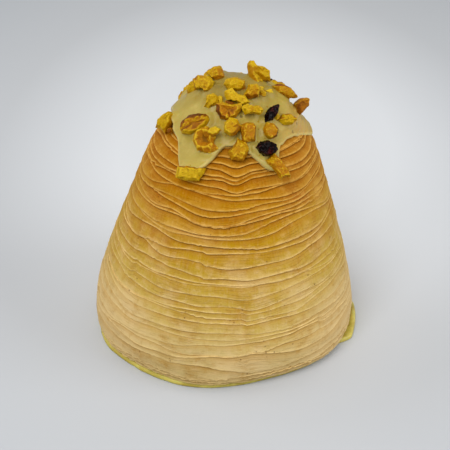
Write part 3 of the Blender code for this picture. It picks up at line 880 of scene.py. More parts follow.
@dataclass
class WoundPastry:
    """The wound leaf: the path of its lip, and the section that follows it."""

    bell: Bell
    turns: int = 37
    columns: int = 480  # places a turn, where the path is worked out
    pitch: float = 0.66 * MM  # between the sections along the leaf
    start: float = 32 * MM
    end_height: float = 3.0 * MM
    upper_width: float = 2.5  # the leaves widen from the top one to the lowest
    lower_width: float = 3.2
    uneven: float = 0.25
    wide_turns: Sequence[int] = (17, 20, 24, 30, 33)
    wide_factor: float = 1.6
    step: float = 0.78 * MM  # how far a lip stands over the next leaf
    full_span: float = 1.7 * MM  # a leaf narrower than this shows less of that step
    least_gap: float = 0.30 * MM
    pressed: float = 0.6  # what is left of that gap where the foot presses the lips together
    foot_reach: float = 7 * MM  # the lips even out over this stretch above the foot
    warp: float = 1.3 * MM  # how far neighbouring lips wander together
    wander_share: float = 0.85  # how far a lip wanders alone, as a share of its leaf's width
    widest_wander: float = 3 * MM  # a wider leaf wanders no further than one of this width
    tear: float = 0.42 * MM
    torn_above: float = 0.62  # the noise from which on a lip is torn
    dent: float = 0.5  # how deep (mm) a seam's groove is
    jog_width: float = 1.1  # the degrees over which a seam moves the lips
    groove_width: float = 0.9  # of a seam, in degrees
    splits: tuple[float, ...] = (0.0, 16.5, 27.5, 38.0)  # the turns at which a new piece starts
    blisters: tuple[float, float] = (5 * MM, 0.35 * MM)  # their size and height
    grain: tuple[float, float] = (1.1 * MM, 0.16 * MM)  # the same for the leaf's grain
    heart_depth: float = 2.3 * MM  # how deep the heart's face lies in the pastry
    heart_rows: int = 40
    heart_sides: int = 96
    quirks: dict[QuirkKind, list[Quirk]] = field(default_factory=lambda: {
        kind: [Quirk(*row) for row in rows] for kind, rows in {
            QuirkKind.DIP: (
                (2, 50, 6, 8, 2.3), (-16, 66, 12, 6, 1.2), (22, 70, 12, 6, -1.6),
                (7, 97, 6, 3, 0.9), (8, 109, 8, 5, 1.1)),
            QuirkKind.TEAR: (
                (-8, 69.5, 7, 2.2), (2, 74, 6, 2.2), (8, 83, 8, 2.5, 0.9), (59, 73, 6, 4),
                (20, 150, 60, 6), (-40, 152, 45, 5)),
            QuirkKind.SEAM: (
                (-13, 92, 3, 6, 1.5), (8, 116, 3, 6, 1.4), (46, 131, 3, 6, 1.2),
                (-52, 104, 3, 7, -1.3), (118, 88, 3, 9, 1.5), (-140, 110, 3, 8, -1.4)),
            QuirkKind.FLAT: ((63, 71, 9, 6, 0.95), (-45, 120, 14, 8, 0.55), (30, 112, 16, 6, 0.45)),
            QuirkKind.BROWN: (
                (8, 119, 3.5, 6, 1.5), (-12, 92, 3, 5, 1.0), (34, 124, 4, 4, 1.0),
                (46, 131, 3, 6, 0.9), (48, 67, 14, 6, 1.2), (-20, 90, 8, 4, 0.8),
                (-12, 79, 15, 4, -1.2), (12, 100, 12, 3, -1.4), (63, 71, 7, 5, -1.6),
                (-50, 120, 16, 8, -1.3), (38, 112, 12, 5, -1.2), (14, 140, 16, 6, -1.1),
                (160, 95, 20, 8, -1.3)),
        }.items()
    })
    # The section, from the hidden back round the leaf's face and its lip: share of the way
    # from root to lip, then millimetres further down and outwards, swell as a share of the
    # width, and how far the point belongs to the lip.
    section: Sequence[tuple[float, float, float, float, float]] = (
        (0.0, -1.7, -3.4, 0.0, 0.0), (0.0, -0.75, -0.6, 0.0, 0.0), (0.0, 0.0, 0.0, 0.0, 0.0),
        (0.13, 0.0, 0.0, 0.030, 0.0), (0.30, 0.0, 0.0, 0.055, 0.0), (0.50, 0.0, 0.0, 0.060, 0.0),
        (0.70, 0.0, 0.02, 0.050, 0.0), (0.86, 0.0, 0.10, 0.030, 0.15), (0.96, 0.0, 0.22, 0.010, 0.7),
        (1.0, 0.10, 0.24, 0.0, 1.0), (1.0, 0.33, 0.10, 0.0, 1.0), (1.0, 0.40, -0.12, 0.0, 0.85),
        (1.0, 0.24, -0.36, 0.0, 0.4), (1.0, -0.45, -0.60, 0.0, 0.0), (1.0, -1.3, -3.4, 0.0, 0.0),
    )
    helpers: Sequence[str] = (  # attributes that only the sweep needs
        "root", "lip_at", "outward", "downward", "span", "along", "thick", "share", "further",
        "raised", "swell")

    def edges(self) -> Array:
        """The arc of each lip at the front, from the first hidden turn to the foot."""
        widths = np.linspace(self.upper_width, self.lower_width, self.turns)
        widths *= np.random.default_rng(SEED).uniform(1 - self.uneven, 1 + self.uneven, self.turns)
        widths[list(self.wide_turns)] *= self.wide_factor
        end = float(np.interp(-self.end_height, -self.bell.curve[:, 1], self.bell.arcs))
        reach = np.concatenate([[0.0], np.cumsum(widths)])
        return self.start + (end - self.start) * reach / reach[-1]

    def acting(self, kind: QuirkKind, azimuth: Array, arc: Array) -> Array:
        """The sum of all quirks of one kind at these places."""
        return sum(quirk.cover(azimuth, arc) for quirk in self.quirks[kind])

    def seams(self, azimuth: Array, arc: Array) -> tuple[Array, Array]:
        """How far the seams move the lips (mm), and how deep their grooves are (0 to 1)."""
        shift, groove = np.zeros_like(arc), np.zeros_like(arc)
        for quirk in self.quirks[QuirkKind.SEAM]:
            away = (azimuth - quirk.azimuth + 180) % 360 - 180
            tall = ease(1.4 - np.abs(arc / MM - quirk.arc) / quirk.tall)
            side = np.sign(away) * ease(np.abs(away) / self.jog_width)
            side = side * ease(2 - np.abs(away) / (3 * quirk.wide))
            shift += 0.5 * quirk.amount * side * tall
            groove += tall * np.exp(-((away / self.groove_width) ** 2))
        return shift, groove

    def tears(self, azimuth: Array, arc: Array, along: Array) -> tuple[Array, Array]:
        """How torn the lip is (0 to 1), and the rags of its edge where it is."""
        torn = ease((noise_line(along / (16 * MM), 25) - self.torn_above) / 0.3)
        torn = np.clip(torn + self.acting(QuirkKind.TEAR, azimuth, arc), 0, 1)
        ragged = noise_line(along / (1.5 * MM), 26) + 0.6 * noise_line(along / (0.75 * MM), 27)
        return torn, ragged

    def kept_apart(self, lip: Array, end: float) -> Array:
        """The lip's arcs, each turn below the turn above it and none past the end."""
        count, turn = len(lip), self.columns
        for row in range(turn, count):
            lip[row] = max(lip[row], lip[row - turn] + self.least_gap)
        lip = np.minimum(lip, end)
        for row in range(count - turn - 1, -1, -1):
            lip[row] = min(lip[row], lip[row + turn] - self.least_gap * self.pressed)
        return lip

    def standing(self, azimuth: Array, arc: Array, along: Array) -> Array:
        """How far the lip stands over the next leaf: less low down and round the sides."""
        zone = 1.0 - 0.58 * below(arc, 72, 38) + 0.38 * below(arc, 141, 8)
        zone *= 1.0 - 0.42 * (1 - hill(azimuth, 0, 40)) * below(arc, 52, 20)
        strength = np.clip(1.0 + 0.75 * noise_line(along / (22 * MM), 28), 0.3, 1.7)
        flat = np.clip(self.acting(QuirkKind.FLAT, azimuth, arc), 0, 0.9)
        return self.step * zone * strength * (1 - flat)

    def plan(self) -> dict[str, Array]:
        """Work out the leaf's path.

        Returns:
            For each place along it: its azimuth, the arcs and lifts of its root and its lip, and
            how far along, how wide, how toasted, how thick and how far out it is.
        """
        bell, edges = self.bell, self.edges()
        count = self.columns * (self.turns + 1) + 1
        turn = np.arange(count) / self.columns
        azimuth = turn * 360.0
        base = np.interp(turn, np.arange(self.turns + 1), edges)
        width = np.gradient(np.interp(turn, np.arange(self.turns + 1) + 0.5, edges)) * self.columns
        along = np.cumsum(bell.radius(base)) * 2 * math.pi / self.columns
        foot = ease((edges[-1] - base) / self.foot_reach)

        alone = noise_line(along / (38 * MM), 41) + 0.28 * noise_line(along / (13 * MM), 22)
        alone *= self.wander_share * np.minimum(width, self.widest_wander)
        shared = noise_skin(azimuth, base, 9, 15 * MM, 23)
        shared = shared + 0.5 * noise_skin(azimuth, base, 21, 9 * MM, 24)
        seam_shift, groove = self.seams(azimuth, base)
        torn, ragged = self.tears(azimuth, base, along)
        dip = (self.acting(QuirkKind.DIP, azimuth, base) + seam_shift) * MM
        lip = base + foot * (self.warp * shared + alone + dip)
        lip = self.kept_apart(lip + self.tear * (0.06 + 0.75 * torn) * ragged, edges[-1])

        relief = self.standing(azimuth, base, along)
        lumps = noise_skin(azimuth, base, 8, 26 * MM, 29) * 0.45
        lumps = lumps + noise_line(along / (20 * MM), 30) * 0.22
        lumps = (lumps - self.dent * groove) * MM * (0.3 + 0.7 * foot)
        above = np.maximum(np.arange(count) - self.columns, 0)
        root, span = lip[above], np.maximum(lip - lip[above], 0.0)
        deep = relief[above] * ease(span / self.full_span + 0.12)
        toast = 0.5 + 0.5 * noise_line(along / (55 * MM), 31)
        toast = toast + self.acting(QuirkKind.BROWN, azimuth, base)
        ends = ease(turn * 4) * ease((self.turns + 1 - turn) * 4)
        return {
            "azimuth": azimuth, "root_arc": root, "lip_arc": lip, "along": along, "span": span,
            "root_lift": bell.pastry_lift(root) + lumps[above] - deep,
            "lip_lift": bell.pastry_lift(lip) + lumps + 0.2 * MM * (0.2 + torn) * ragged,
            # shown and under set how strong the painted highlight on this lip and the painted shade
            # under the lip above are
            "toast": toast, "shown": relief / self.step, "under": relief[above] / self.step,
            "thick": ends * (0.85 + 0.3 * noise_line(along / (12 * MM), 32)),
        }

    def spine(self, plan: dict[str, Array], first: float, last: float) -> Mesh:
        """The line that a piece of the leaf follows, with what its section needs.

        Args:
            plan: The leaf's path.
            first: The turn at which the piece starts.
            last: The turn at which it ends.

        Returns:
            A chain of edges along the lip.
        """
        low, high = int(first * self.columns), int(last * self.columns)
        reach = plan["along"][[low, high]]
        rows = np.interp(np.linspace(*reach, int((reach[1] - reach[0]) / self.pitch)),
                         plan["along"], np.arange(len(plan["along"])))
        at = {key: np.interp(rows, np.arange(len(values)), values) for key, values in plan.items()}
        bell = self.bell
        root = bell.point(at["azimuth"], at["root_arc"], at["root_lift"])
        lip = bell.point(at["azimuth"], at["lip_arc"], at["lip_lift"])
        outward, downward = bell.axes(at["azimuth"], at["lip_arc"])
        edges = [(k, k + 1) for k in range(len(rows) - 1)]
        return mesh_of("leaf_spine", lip, [], edges, root=root, lip_at=lip, outward=outward,
                       downward=downward, span=at["span"], along=at["along"], toast=at["toast"],
                       thick=at["thick"], shown=at["shown"], under=at["under"])

    def section_loop(self) -> Object:
        """The section as a closed loop of edges that carries its numbers."""
        rows = np.array(self.section)
        count = len(rows)
        points = np.column_stack([rows[:, 0] * 3 + rows[:, 1], rows[:, 2], np.zeros(count)]) * MM
        mesh = mesh_of("leaf_section", points, [], [(k, (k + 1) % count) for k in range(count)],
                       share=rows[:, 0], further=rows[:, 1] * MM, raised=rows[:, 2] * MM,
                       swell=rows[:, 3], lip=rows[:, 4])
        loop = bpy.data.objects.new("leaf_section", mesh)
        bpy.context.scene.collection.objects.link(loop)
        return loop

    @staticmethod
    def tree() -> ShapeTree:
        """The tree that sweeps the section along the spine and roughens the leaf."""
        tree = ShapeTree("Wind leaf", Section="object", Blister_size="float", Blister_height="float",
                         Grain_size="float", Grain_height="float", Seed="float")
        spine = tree.out("GeometryNodeMeshToCurve", {"Mesh": tree.given("Geometry")})
        loop = tree.out("GeometryNodeObjectInfo", {"Object": tree.given("Section")}, "Geometry")
        loop = tree.out("GeometryNodeMeshToCurve", {"Mesh": loop})
        swept = tree.out("GeometryNodeCurveToMesh",
                         {"Curve": spine, "Profile Curve": loop, "Fill Caps": True})
        root, lip = tree.read("root", "FLOAT_VECTOR"), tree.read("lip_at", "FLOAT_VECTOR")
        share, span = tree.read("share"), tree.read("span")
        thick = tree.read("thick")
        face = tree.vector("ADD", root, tree.scaled(tree.vector("SUBTRACT", lip, root), share))
        further = tree.scaled(tree.read("downward", "FLOAT_VECTOR"),
                              tree.times(tree.read("further"), thick))
        raised = tree.plus(tree.times(tree.read("raised"), thick),
                           tree.times(tree.read("swell"), span))
        out = tree.scaled(tree.read("outward", "FLOAT_VECTOR"), raised)
        place = tree.vector("ADD", face, tree.vector("ADD", further, out))
        leaf = tree.out("GeometryNodeSetPosition", {"Geometry": swept, "Position": place})
        leaf = tree.roughened(tree.roughened(leaf, "Blister"), "Grain", 1.0)
        across = tree.times(share, span)
        packed = tree.out("ShaderNodeCombineXYZ", {0: across, 1: tree.minus(span, across),
                                                   2: tree.read("along")})
        leaf = tree.store(leaf, "leaf", packed, "FLOAT_VECTOR")
        tree.finish(leaf)
        return tree

    def heart(self, material: Material) -> Object:
        """The solid body of pastry that the leaf is wound on."""
        count, sides = self.heart_rows, self.heart_sides
        arcs = np.linspace(0.5 * MM, self.edges()[-1] - 0.6 * MM, count)
        azimuth = np.arange(sides) * 360.0 / sides
        azimuths, rows = np.meshgrid(azimuth, arcs)
        deep = self.bell.pastry_lift(rows) - self.heart_depth * ease(rows / (30 * MM))
        points = self.bell.point(azimuths.ravel(), rows.ravel(), deep.ravel())
        faces = grid_faces(count, sides)
        faces += [tuple(range(sides)), tuple(range((count - 1) * sides, count * sides))]
        zero = np.zeros(len(points))
        mesh = mesh_of("pastry_heart", points, faces, lip=zero, toast=zero, shown=zero, under=zero,
                       leaf=np.column_stack([zero + MM, zero + MM, zero]))
        return piece_of(mesh, material)

    def build(self, material: Material) -> list[Object]:
        """Build the heart and the leaf, and seat them for the CAD bell."""
        plan = self.plan()
        loop, tree = self.section_loop(), self.tree()
        (blister_size, blister_height), (grain_size, grain_height) = self.blisters, self.grain
        pieces = [dress(self.heart(material), "baked_pastry", "pastry_bell")]
        for number, (first, last) in enumerate(zip(self.splits, self.splits[1:]), 1):
            piece = tree.grow(
                f"pastry_leaf_{number}", self.spine(plan, first, last), Section=loop,
                Blister_size=blister_size, Blister_height=blister_height, Grain_size=grain_size,
                Grain_height=grain_height, Seed=float(SEED), Material=material)
            for helper in self.helpers:
                layer = piece.data.attributes.get(helper)
                if layer:
                    piece.data.attributes.remove(layer)
            pieces.append(dress(piece, "baked_pastry"))
        bpy.data.objects.remove(loop, do_unlink=True)
        return pieces


# ---------------------------------------------------------------- the glaze


@dataclass
class GlazeCap:
    """The glaze: a cap over the dome that runs down in drips with a round rim."""

    bell: Bell
    thickness: float = 2.4 * MM
    edge: float = 41.0 * MM
    # Each change of the edge: azimuth, half width in degrees, and how much further down it runs.
    runs: Sequence[tuple[float, float, float]] = (
        (-31, 12, 11.5), (27, 8, 9.5), (-3, 9, -4.0), (-85, 23, -6.5), (55, 8, -1.5),
        (97, 18, 8.5), (140, 12, -4.5), (168, 12, 8.5), (-158, 12, -4.0), (-128, 11, 6.0),
    )
    crest: float = 1.7  # how much fuller (mm) the cap is behind its top
    crest_patch: tuple = ((-175, 14), (75, 8))  # its middle (degrees, mm) and half widths
    thin_patch: tuple = ((82, 40), (32, 9))  # the same for where the glaze has run thin
    thinned: float = 1.8  # how much thinner (mm) it is on the right, where the pastry shows through
    ridges: float = 2.7 * MM  # between the lips that show there
    columns: int = 540
    rows: int = 78
    rim_rows: int = 12
    rim: float = 1.25 * MM
    sunk: float = 0.7 * MM  # how deep the underside sits in the pastry
    collar: float = 1.3 * MM  # how far the glaze climbs at a nut
    collar_reach: float = 1.7 * MM
    crowding: float = 1.25  # above 1, the rows lie closer together towards the rim
    inner_rows: Sequence[float] = (0.75, 0.4, 0.12)  # of the underside, as shares of the arc
    rim_highlight_row: int = 3  # of the rim, where the painted highlight is at its lightest
    rim_highlight_reach: int = 7  # rows

    def edge_at(self, azimuth: Array) -> Array:
        """The arc that the glaze reaches at these azimuths."""
        runs = sum(far * hill(azimuth, middle, wide) for middle, wide, far in self.runs)
        waves = 0.55 * noise_skin(azimuth, np.zeros_like(azimuth), 44, MM, 41)
        waves += 0.25 * noise_skin(azimuth, np.zeros_like(azimuth), 97, MM, 42)
        return self.edge + (runs + waves) * MM

    def thin(self, azimuth: Array, arc: Array) -> Array:
        """How far the glaze has run thin, from 0 to 1."""
        return patch(azimuth, arc, *self.thin_patch)

    def top_lift(self, azimuth: Array, arc: Array) -> Array:
        """The lift of the glaze's upper face well inside its rim."""
        waves = 0.5 * noise_skin(azimuth, arc, 13, 9 * MM, 43)
        waves = waves + 0.17 * noise_skin(azimuth, arc, 37, 4 * MM, 44)
        waves += self.crest * patch(azimuth, arc, *self.crest_patch)
        thin = self.thin(azimuth, arc)
        waves -= thin * (self.thinned + 0.2 * np.sin(2 * math.pi * arc / self.ridges))
        return self.bell.pastry_lift(arc) + self.thickness + waves * MM

    def build(self, material: Material, toppings: Sequence[Object]) -> Object:
        """Build the cap, with a collar where it climbs at each topping.

        Args:
            material: The glaze's material.
            toppings: The pieces that sit in it.

        Returns:
            The glaze piece, seated for the CAD cap.
        """
        bell, count = self.bell, self.columns
        azimuth = np.arange(count) * 360.0 / count
        edge = self.edge_at(azimuth)
        pace = np.radians(360.0 / count) * bell.radius(edge)
        slope = (np.roll(edge, -1) - np.roll(edge, 1)) / (2 * pace)
        slope = sum(np.roll(slope, k) for k in (-2, -1, 0, 1, 2)) / 5
        size = np.hypot(1, slope)
        turned = np.degrees(-slope / size / bell.radius(edge))  # degrees a metre out of the rim
        lifts, azimuths, arcs = [], [], []
        inner_arc, inner_azimuth = edge - self.rim / size, azimuth - turned * self.rim
        for share in np.linspace(0, 1, self.rows + 1)[1:]:
            share = 1 - (1 - share) ** self.crowding
            azimuths.append(azimuth + (inner_azimuth - azimuth) * share**4)
            arcs.append(inner_arc * share)
            lifts.append(self.top_lift(azimuths[-1], arcs[-1]))
        crest = lifts[-1]
        floor = bell.pastry_lift(edge) - self.sunk
        middle, half = (crest + floor) / 2, (crest - floor) / 2
        for angle in np.radians(np.linspace(90, -80, self.rim_rows + 1)[1:]):
            out = self.rim * math.cos(angle)
            azimuths.append(inner_azimuth + turned * out)
            arcs.append(inner_arc + out / size)
            lifts.append(middle + half * math.sin(angle))
        for share in self.inner_rows:
            azimuths.append(azimuth)
            arcs.append(inner_arc * share)
            lifts.append(bell.pastry_lift(arcs[-1]) - self.sunk)
        azimuths, arcs, lifts = (np.array(rows) for rows in (azimuths, arcs, lifts))
        points = bell.point(azimuths.ravel(), arcs.ravel(), lifts.ravel())
        points = self.climb(points, azimuths.ravel(), arcs.ravel(), toppings)
        points = np.vstack([points, bell.point(0.0, 0.0, lifts[0].mean())[None],
                            bell.point(0.0, 0.0, lifts[-1].mean())[None]])
        faces = tipped_faces(len(arcs), count)
        thin = np.append(self.thin(azimuths.ravel(), arcs.ravel()), [0, 0])
        # A painted highlight along the rim, strongest at one row of it.
        turning = np.arange(len(arcs)) - self.rows
        brink = ease(1 - np.abs(turning - self.rim_highlight_row) / self.rim_highlight_reach)
        brink = np.append(np.repeat(brink, count), [0, 0])
        mesh = mesh_of("glaze", points, faces, thin=thin, brink=brink)
        return dress(piece_of(mesh, material), "cream_glaze", "glaze_cap")

    def climb(self, points: Array, azimuth: Array, arc: Array, toppings: Sequence[Object]) -> Array:
        """The glaze's points, raised in a collar near each topping."""
        seats = [vert.co for piece in toppings for vert in piece.data.vertices]
        tree = KDTree(len(seats))
        for number, seat in enumerate(seats):
            tree.insert(seat, number)
        tree.balance()
        away = np.array([tree.find(point)[2] for point in points])
        raised = self.collar * np.exp(-((away / self.collar_reach) ** 2))
        outward, _ = self.bell.axes(azimuth, arc)
        skin = len(points) - len(self.inner_rows) * self.columns
        raised[skin - (self.rim_rows // 2) * self.columns:] = 0
        return points + outward * raised[:, None]


# ---------------------------------------------------------------- nuts and raisins


class Cut(Enum):
    """The outline of a topping seen from outside, as points of a square from -1 to 1."""

    PEAK = ((-1, -0.2), (-0.45, 0.35), (0.1, 1), (0.4, 0.85), (1, -0.15), (0.65, -0.75), (0.1, -1),
            (-0.5, -0.75))
    BEAN = ((-1, -0.1), (-0.7, 0.6), (0, 1), (0.75, 0.65), (1, -0.1), (0.6, -0.8), (0.1, -0.5),
            (-0.5, -0.9))
    MOON = ((-1, -0.35), (-0.85, 0.3), (-0.4, 0.85), (0.2, 1), (0.6, 0.95), (1, 0.6), (0.85, -0.05),
            (0.35, -0.7), (-0.4, -1), (-0.85, -0.8))
    EAR = ((-0.75, 0.85), (0, 1), (0.65, 0.85), (0.8, 0.25), (0.62, -0.25), (1, -0.6), (0.65, -0.92),
           (0, -1), (-0.65, -0.78), (-1, -0.05))
    BOWL = ((-1, 0.7), (-0.4, 0.8), (0.2, 0.65), (0.9, 0.8), (1, 0.2), (0.6, -0.5), (0, -1),
            (-0.6, -0.8), (-0.95, -0.1))
    WEDGE = ((-0.6, 0.7), (-0.1, 1), (0.5, 0.9), (1, 0.2), (0.75, -1), (-0.1, -0.85), (-0.9, -0.95),
             (-1, -0.1))
    SLAB = ((-1, 0.75), (-0.2, 0.95), (0.75, 0.8), (1, 0.55), (0.65, -0.85), (-0.1, -0.8), (-1, -0.95),
            (-0.9, -0.1))
    STUB = ((-1, -0.75), (-0.92, 0.8), (-0.3, 0.95), (0.5, 0.85), (1, 0.95), (0.8, 0.1), (0.55, -0.85),
            (-0.2, -1))
    BLOCK = ((-1, 0.1), (-0.65, 0.85), (0.2, 1), (0.95, 0.5), (0.8, -0.5), (0.25, -1), (-0.6, -0.8))
    KITE = ((-0.15, 1), (0.6, 0.75), (1, 0.1), (0.5, -0.95), (-0.65, -0.8), (-1, -0.2), (-0.55, 0.3))
    ALMOND = ((-1, -0.15), (-0.45, 0.7), (0.3, 0.85), (1, 0.1), (0.45, -0.7), (-0.4, -0.85))
    TRIANGLE = ((-1, 0.9), (-0.1, 0.9), (1, 0.0), (0.05, -1), (-0.6, -0.6), (-0.85, 0.1))
    TWIN = ((-1, 0.1), (-0.6, 0.95), (-0.05, 0.55), (0.5, 0.75), (1, 0.1), (0.7, -0.8), (0, -0.6),
            (-0.7, -0.95))
    OVAL = ((-1, 0), (-0.6, 0.75), (0.1, 0.95), (0.7, 0.5), (1, -0.1), (0.5, -0.75), (-0.2, -1),
            (-0.7, -0.6))


class Flesh(Enum):
    """The size and height of a topping's lumps, then of its grain (mm)."""

    NUT = (2.0, 1.0, 0.7, 0.5)
    RAISIN = (1.6, 1.2, 0.8, 0.35)


@dataclass(frozen=True)
class Bit:
    """One topping: its cut and sizes across, up and through (mm), its turn, its tone, and where
    its skin is (to the right, up and outwards) and how much there is; that skin is partly painted
    shade."""

    cut: Cut
    size: tuple[float, float, float]
    turn: float = 0.0
    tone: float = 0.0
    side: tuple[float, float, float] = (0, 0, -1)
    skin: float = 0.0
    hollow: float = 0.0  # how far the middle of its face is sunk, as a share of its thickness
    shift: tuple[float, float, float] = (0, 0, 0)  # from its node's middle: right, up, outwards (mm)


@dataclass
class Toppings:
    """The nuts and raisins, each a chopped piece where its CAD node lies."""

    bell: Bell
    bits: dict[str, Bit] = field(default_factory=lambda: {
        "nut_chunk_01": Bit(Cut.PEAK, (7.9, 6, 6), 0, 0.15, (0.8, -0.3, 0.2), 0.55, 0, (-0.5, 0.9, 0)),
        "nut_half_01": Bit(Cut.BEAN, (10.2, 7.6, 6.5), -12, 0.0, (-0.9, -0.1, 0.1), 0.6, 0,
                           (-0.3, 0, 0)),
        "nut_chunk_02": Bit(Cut.BLOCK, (6.2, 7.4, 6), -20, 0.0, (0.5, -0.9, 0.1), 0.45, 0,
                            (3.2, -0.6, 0)),
        "nut_chunk_03": Bit(Cut.KITE, (7.2, 5.6, 5), 30, -0.25, (0.5, -0.8, 0), 0.3),
        "nut_half_02": Bit(Cut.WEDGE, (6.4, 9.2, 6), -18, 0.0, (0.9, -0.6, -0.3), 0.5, 0, (-0.5, 0, 0)),
        "nut_half_03": Bit(Cut.MOON, (12.8, 8.8, 6), 4, 0.05, (-0.6, 0.8, 0.45), 1.0, 0.12,
                           (1.5, -0.9, 0.5)),
        "nut_half_04": Bit(Cut.EAR, (10.2, 10.6, 6), 0, 0.5, (-0.2, 0, -1), 0.3, 0.42, (0.6, 0.5, 0.8)),
        "nut_chunk_04": Bit(Cut.ALMOND, (6, 4.2, 4.5), 10, -0.3, (0, -1, 0), 0.4, 0, (-0.6, -2.4, 0.8)),
        "nut_chunk_05": Bit(Cut.STUB, (12.4, 6.0, 6), -2, -0.45, (0.5, 0.95, -0.2), 0.6, 0,
                            (1.6, 0.4, 0)),
        "nut_half_05": Bit(Cut.BOWL, (10.6, 8.2, 6), -4, 0.45, (-0.9, 0.0, 0.3), 1.0, 0.2),
        "nut_chunk_06": Bit(Cut.BLOCK, (9.4, 5.6, 6), -6, -0.1, (0.9, 0.1, 0.3), 0.35, 0, (-0.6, 0, 0)),
        "nut_chunk_07": Bit(Cut.TWIN, (11, 5.6, 5.5), -27, -0.35),
        "nut_chunk_08": Bit(Cut.KITE, (7.8, 6.4, 6), 10, 0.2, (-0.3, -0.8, 0.2), 0.7, 0,
                            (0.5, -0.8, 0)),
        "nut_sliver_01": Bit(Cut.WEDGE, (5.0, 11.4, 5.5), 4, -0.15, (-0.9, -0.4, 0), 0.4, 0,
                             (-0.6, -2.9, 1.5)),
        "nut_chunk_09": Bit(Cut.ALMOND, (10.2, 5.6, 5.5), -58, -0.25, (-0.9, -0.6, 0.2), 0.35, 0,
                            (0.6, 0.5, -1.0)),
        "nut_sliver_02": Bit(Cut.ALMOND, (12.9, 5.8, 5.5), -38, 0.5, (0.5, 0.9, 0.25), 1.0),
        "nut_chunk_10": Bit(Cut.TRIANGLE, (8.8, 6.4, 6), -120, 1.2, (-0.5, -0.6, 0.6), 0.8, 0,
                            (-0.3, 0.1, 0)),
        "nut_chunk_11": Bit(Cut.TWIN, (9, 5, 5.5), -8, -0.1, (0.9, -0.1, 0), 0.3, 0, (0.3, -0.6, 0)),
        "nut_chunk_12": Bit(Cut.BLOCK, (7.3, 7.3, 6), -25, 0.1, (0.8, -0.5, 0.4), 0.6),
        "nut_chunk_13": Bit(Cut.SLAB, (6.6, 9, 6), 4, 0.5, (0.9, -0.1, 0.5), 0.55),
        "nut_chunk_14": Bit(Cut.KITE, (8.3, 9.6, 6), -4, 0.4, (0.4, -0.9, 0), 0.5, 0, (0.5, 0.4, 0)),
        "raisin_01": Bit(Cut.ALMOND, (10, 5, 4.5), 42),
        "nut_sliver_03": Bit(Cut.ALMOND, (8.8, 5.8, 5), -10, -0.1, (0.1, 0.95, 0), 0.7, 0,
                             (0.7, -0.4, 0)),
        "nut_chunk_15": Bit(Cut.BLOCK, (7.2, 6.2, 5.5), 80, 0.5, (0.95, -0.2, 0.3), 0.9, 0,
                            (0.5, -0.2, 0)),
        "raisin_02": Bit(Cut.OVAL, (9.6, 6.8, 5.5), -6, 0, (0, 0, -1), 0, 0, (0.3, 0.5, 0)),
        "nut_sliver_04": Bit(Cut.SLAB, (11.6, 5.4, 5), -57, 0.6, (0.7, 0.7, 0), 0.35, 0,
                             (-1.8, 0.1, 0)),
        "nut_chunk_16": Bit(Cut.BLOCK, (7, 4.5, 4), 0, 0.2, (0, 0, -1), 0, 0, (0, -1.0, -3.8)),
        "nut_chunk_18": Bit(Cut.BLOCK, (6, 6, 5), 10, 0.1, (0, 0, -1), 0.4, 0, (0, -0.8, -2.0)),
        "nut_chunk_17": Bit(Cut.TWIN, (7.4, 4.2, 5), -20, 0.3, (0.6, 0.7, 0), 0.8, 0, (1.4, -1.8, 0)),
    })
    # Small bits that no node stands for: azimuth, arc (mm) and the bit.
    small: Sequence[tuple[float, float, Bit]] = (
        (-25, 16.5, Bit(Cut.SLAB, (2.2, 5.2, 2.4), 8, -1.2, (-1, 0, 0), 0.3)),
        (64, 12.5, Bit(Cut.KITE, (3.6, 3.2, 2.6), 20, -0.5, (0.5, -0.9, 0), 0.6)),
        (56, 15.0, Bit(Cut.BLOCK, (3.2, 3.4, 2.6), 0, 0.1, (-0.7, -0.7, 0), 0.9)),
        (76, 16.5, Bit(Cut.PEAK, (4.6, 2.8, 2.6), -25, -1.0, (0, -1, 0), 0.5)),
        (48, 28.0, Bit(Cut.BLOCK, (3.2, 3.0, 2.4), 30, 0.1, (0.5, -0.5, 0), 0.8)),
        (22, 8.0, Bit(Cut.KITE, (3.6, 3.0, 2.4), 50, 0.6, (0, 0, 1), 0.7)),
        (-9, 17.0, Bit(Cut.SLAB, (4.2, 2.4, 2.4), -10, 0.7, (0, 0, 1), 0.8)),
        (-66, 38.8, Bit(Cut.OVAL, (2.6, 2.4, 2.2), 0, 1.2, (0, -0.3, 1), 1.0, 0, (0, 0, -0.8))),
        (-160, 28, Bit(Cut.SLAB, (3.2, 3.0, 2.4), 30, -0.6)),
        (112, 30, Bit(Cut.BLOCK, (3.0, 2.6, 2.2), 70, 0.2, (0, 1, 0), 0.8)),
    )
    # The coarse piece: each ring's depth and its share of the outline, from the back.
    rings: Sequence[tuple[float, float]] = ((-1.0, 0.62), (-0.45, 1.0), (0.30, 0.97), (0.92, 0.68))
    stray: float = 0.10
    fuller: float = 1.13  # makes up for what rounding takes off
    level: int = 3
    facing_share: float = 0.30  # a front piece faces this share of its azimuth
    front: float = 16 * MM  # how far back a piece may lie and still be turned to the front
    elevation: float = 31.0
    most_turned: float = 30.0  # how far a front piece may face to a side (degrees)
    most_tilt: float = 0.28  # how far the face of a piece may slope
    plain_cuts: Sequence[Cut] = (Cut.BLOCK, Cut.KITE, Cut.BEAN, Cut.WEDGE, Cut.ALMOND)
    plain_size: tuple[float, float, float] = (8.8, 6.8, 5.5)
    small_below: float = 5.0  # a bit that is less high (mm) has fewer faces and lower lumps
    small_seed: int = 50  # the seeds of the small bits come after this one
    glaze_depth: float = 2.4  # of the glaze (mm) under a small bit
    small_lift: float = 0.3  # how high its middle lies over the glaze, as a share of its depth

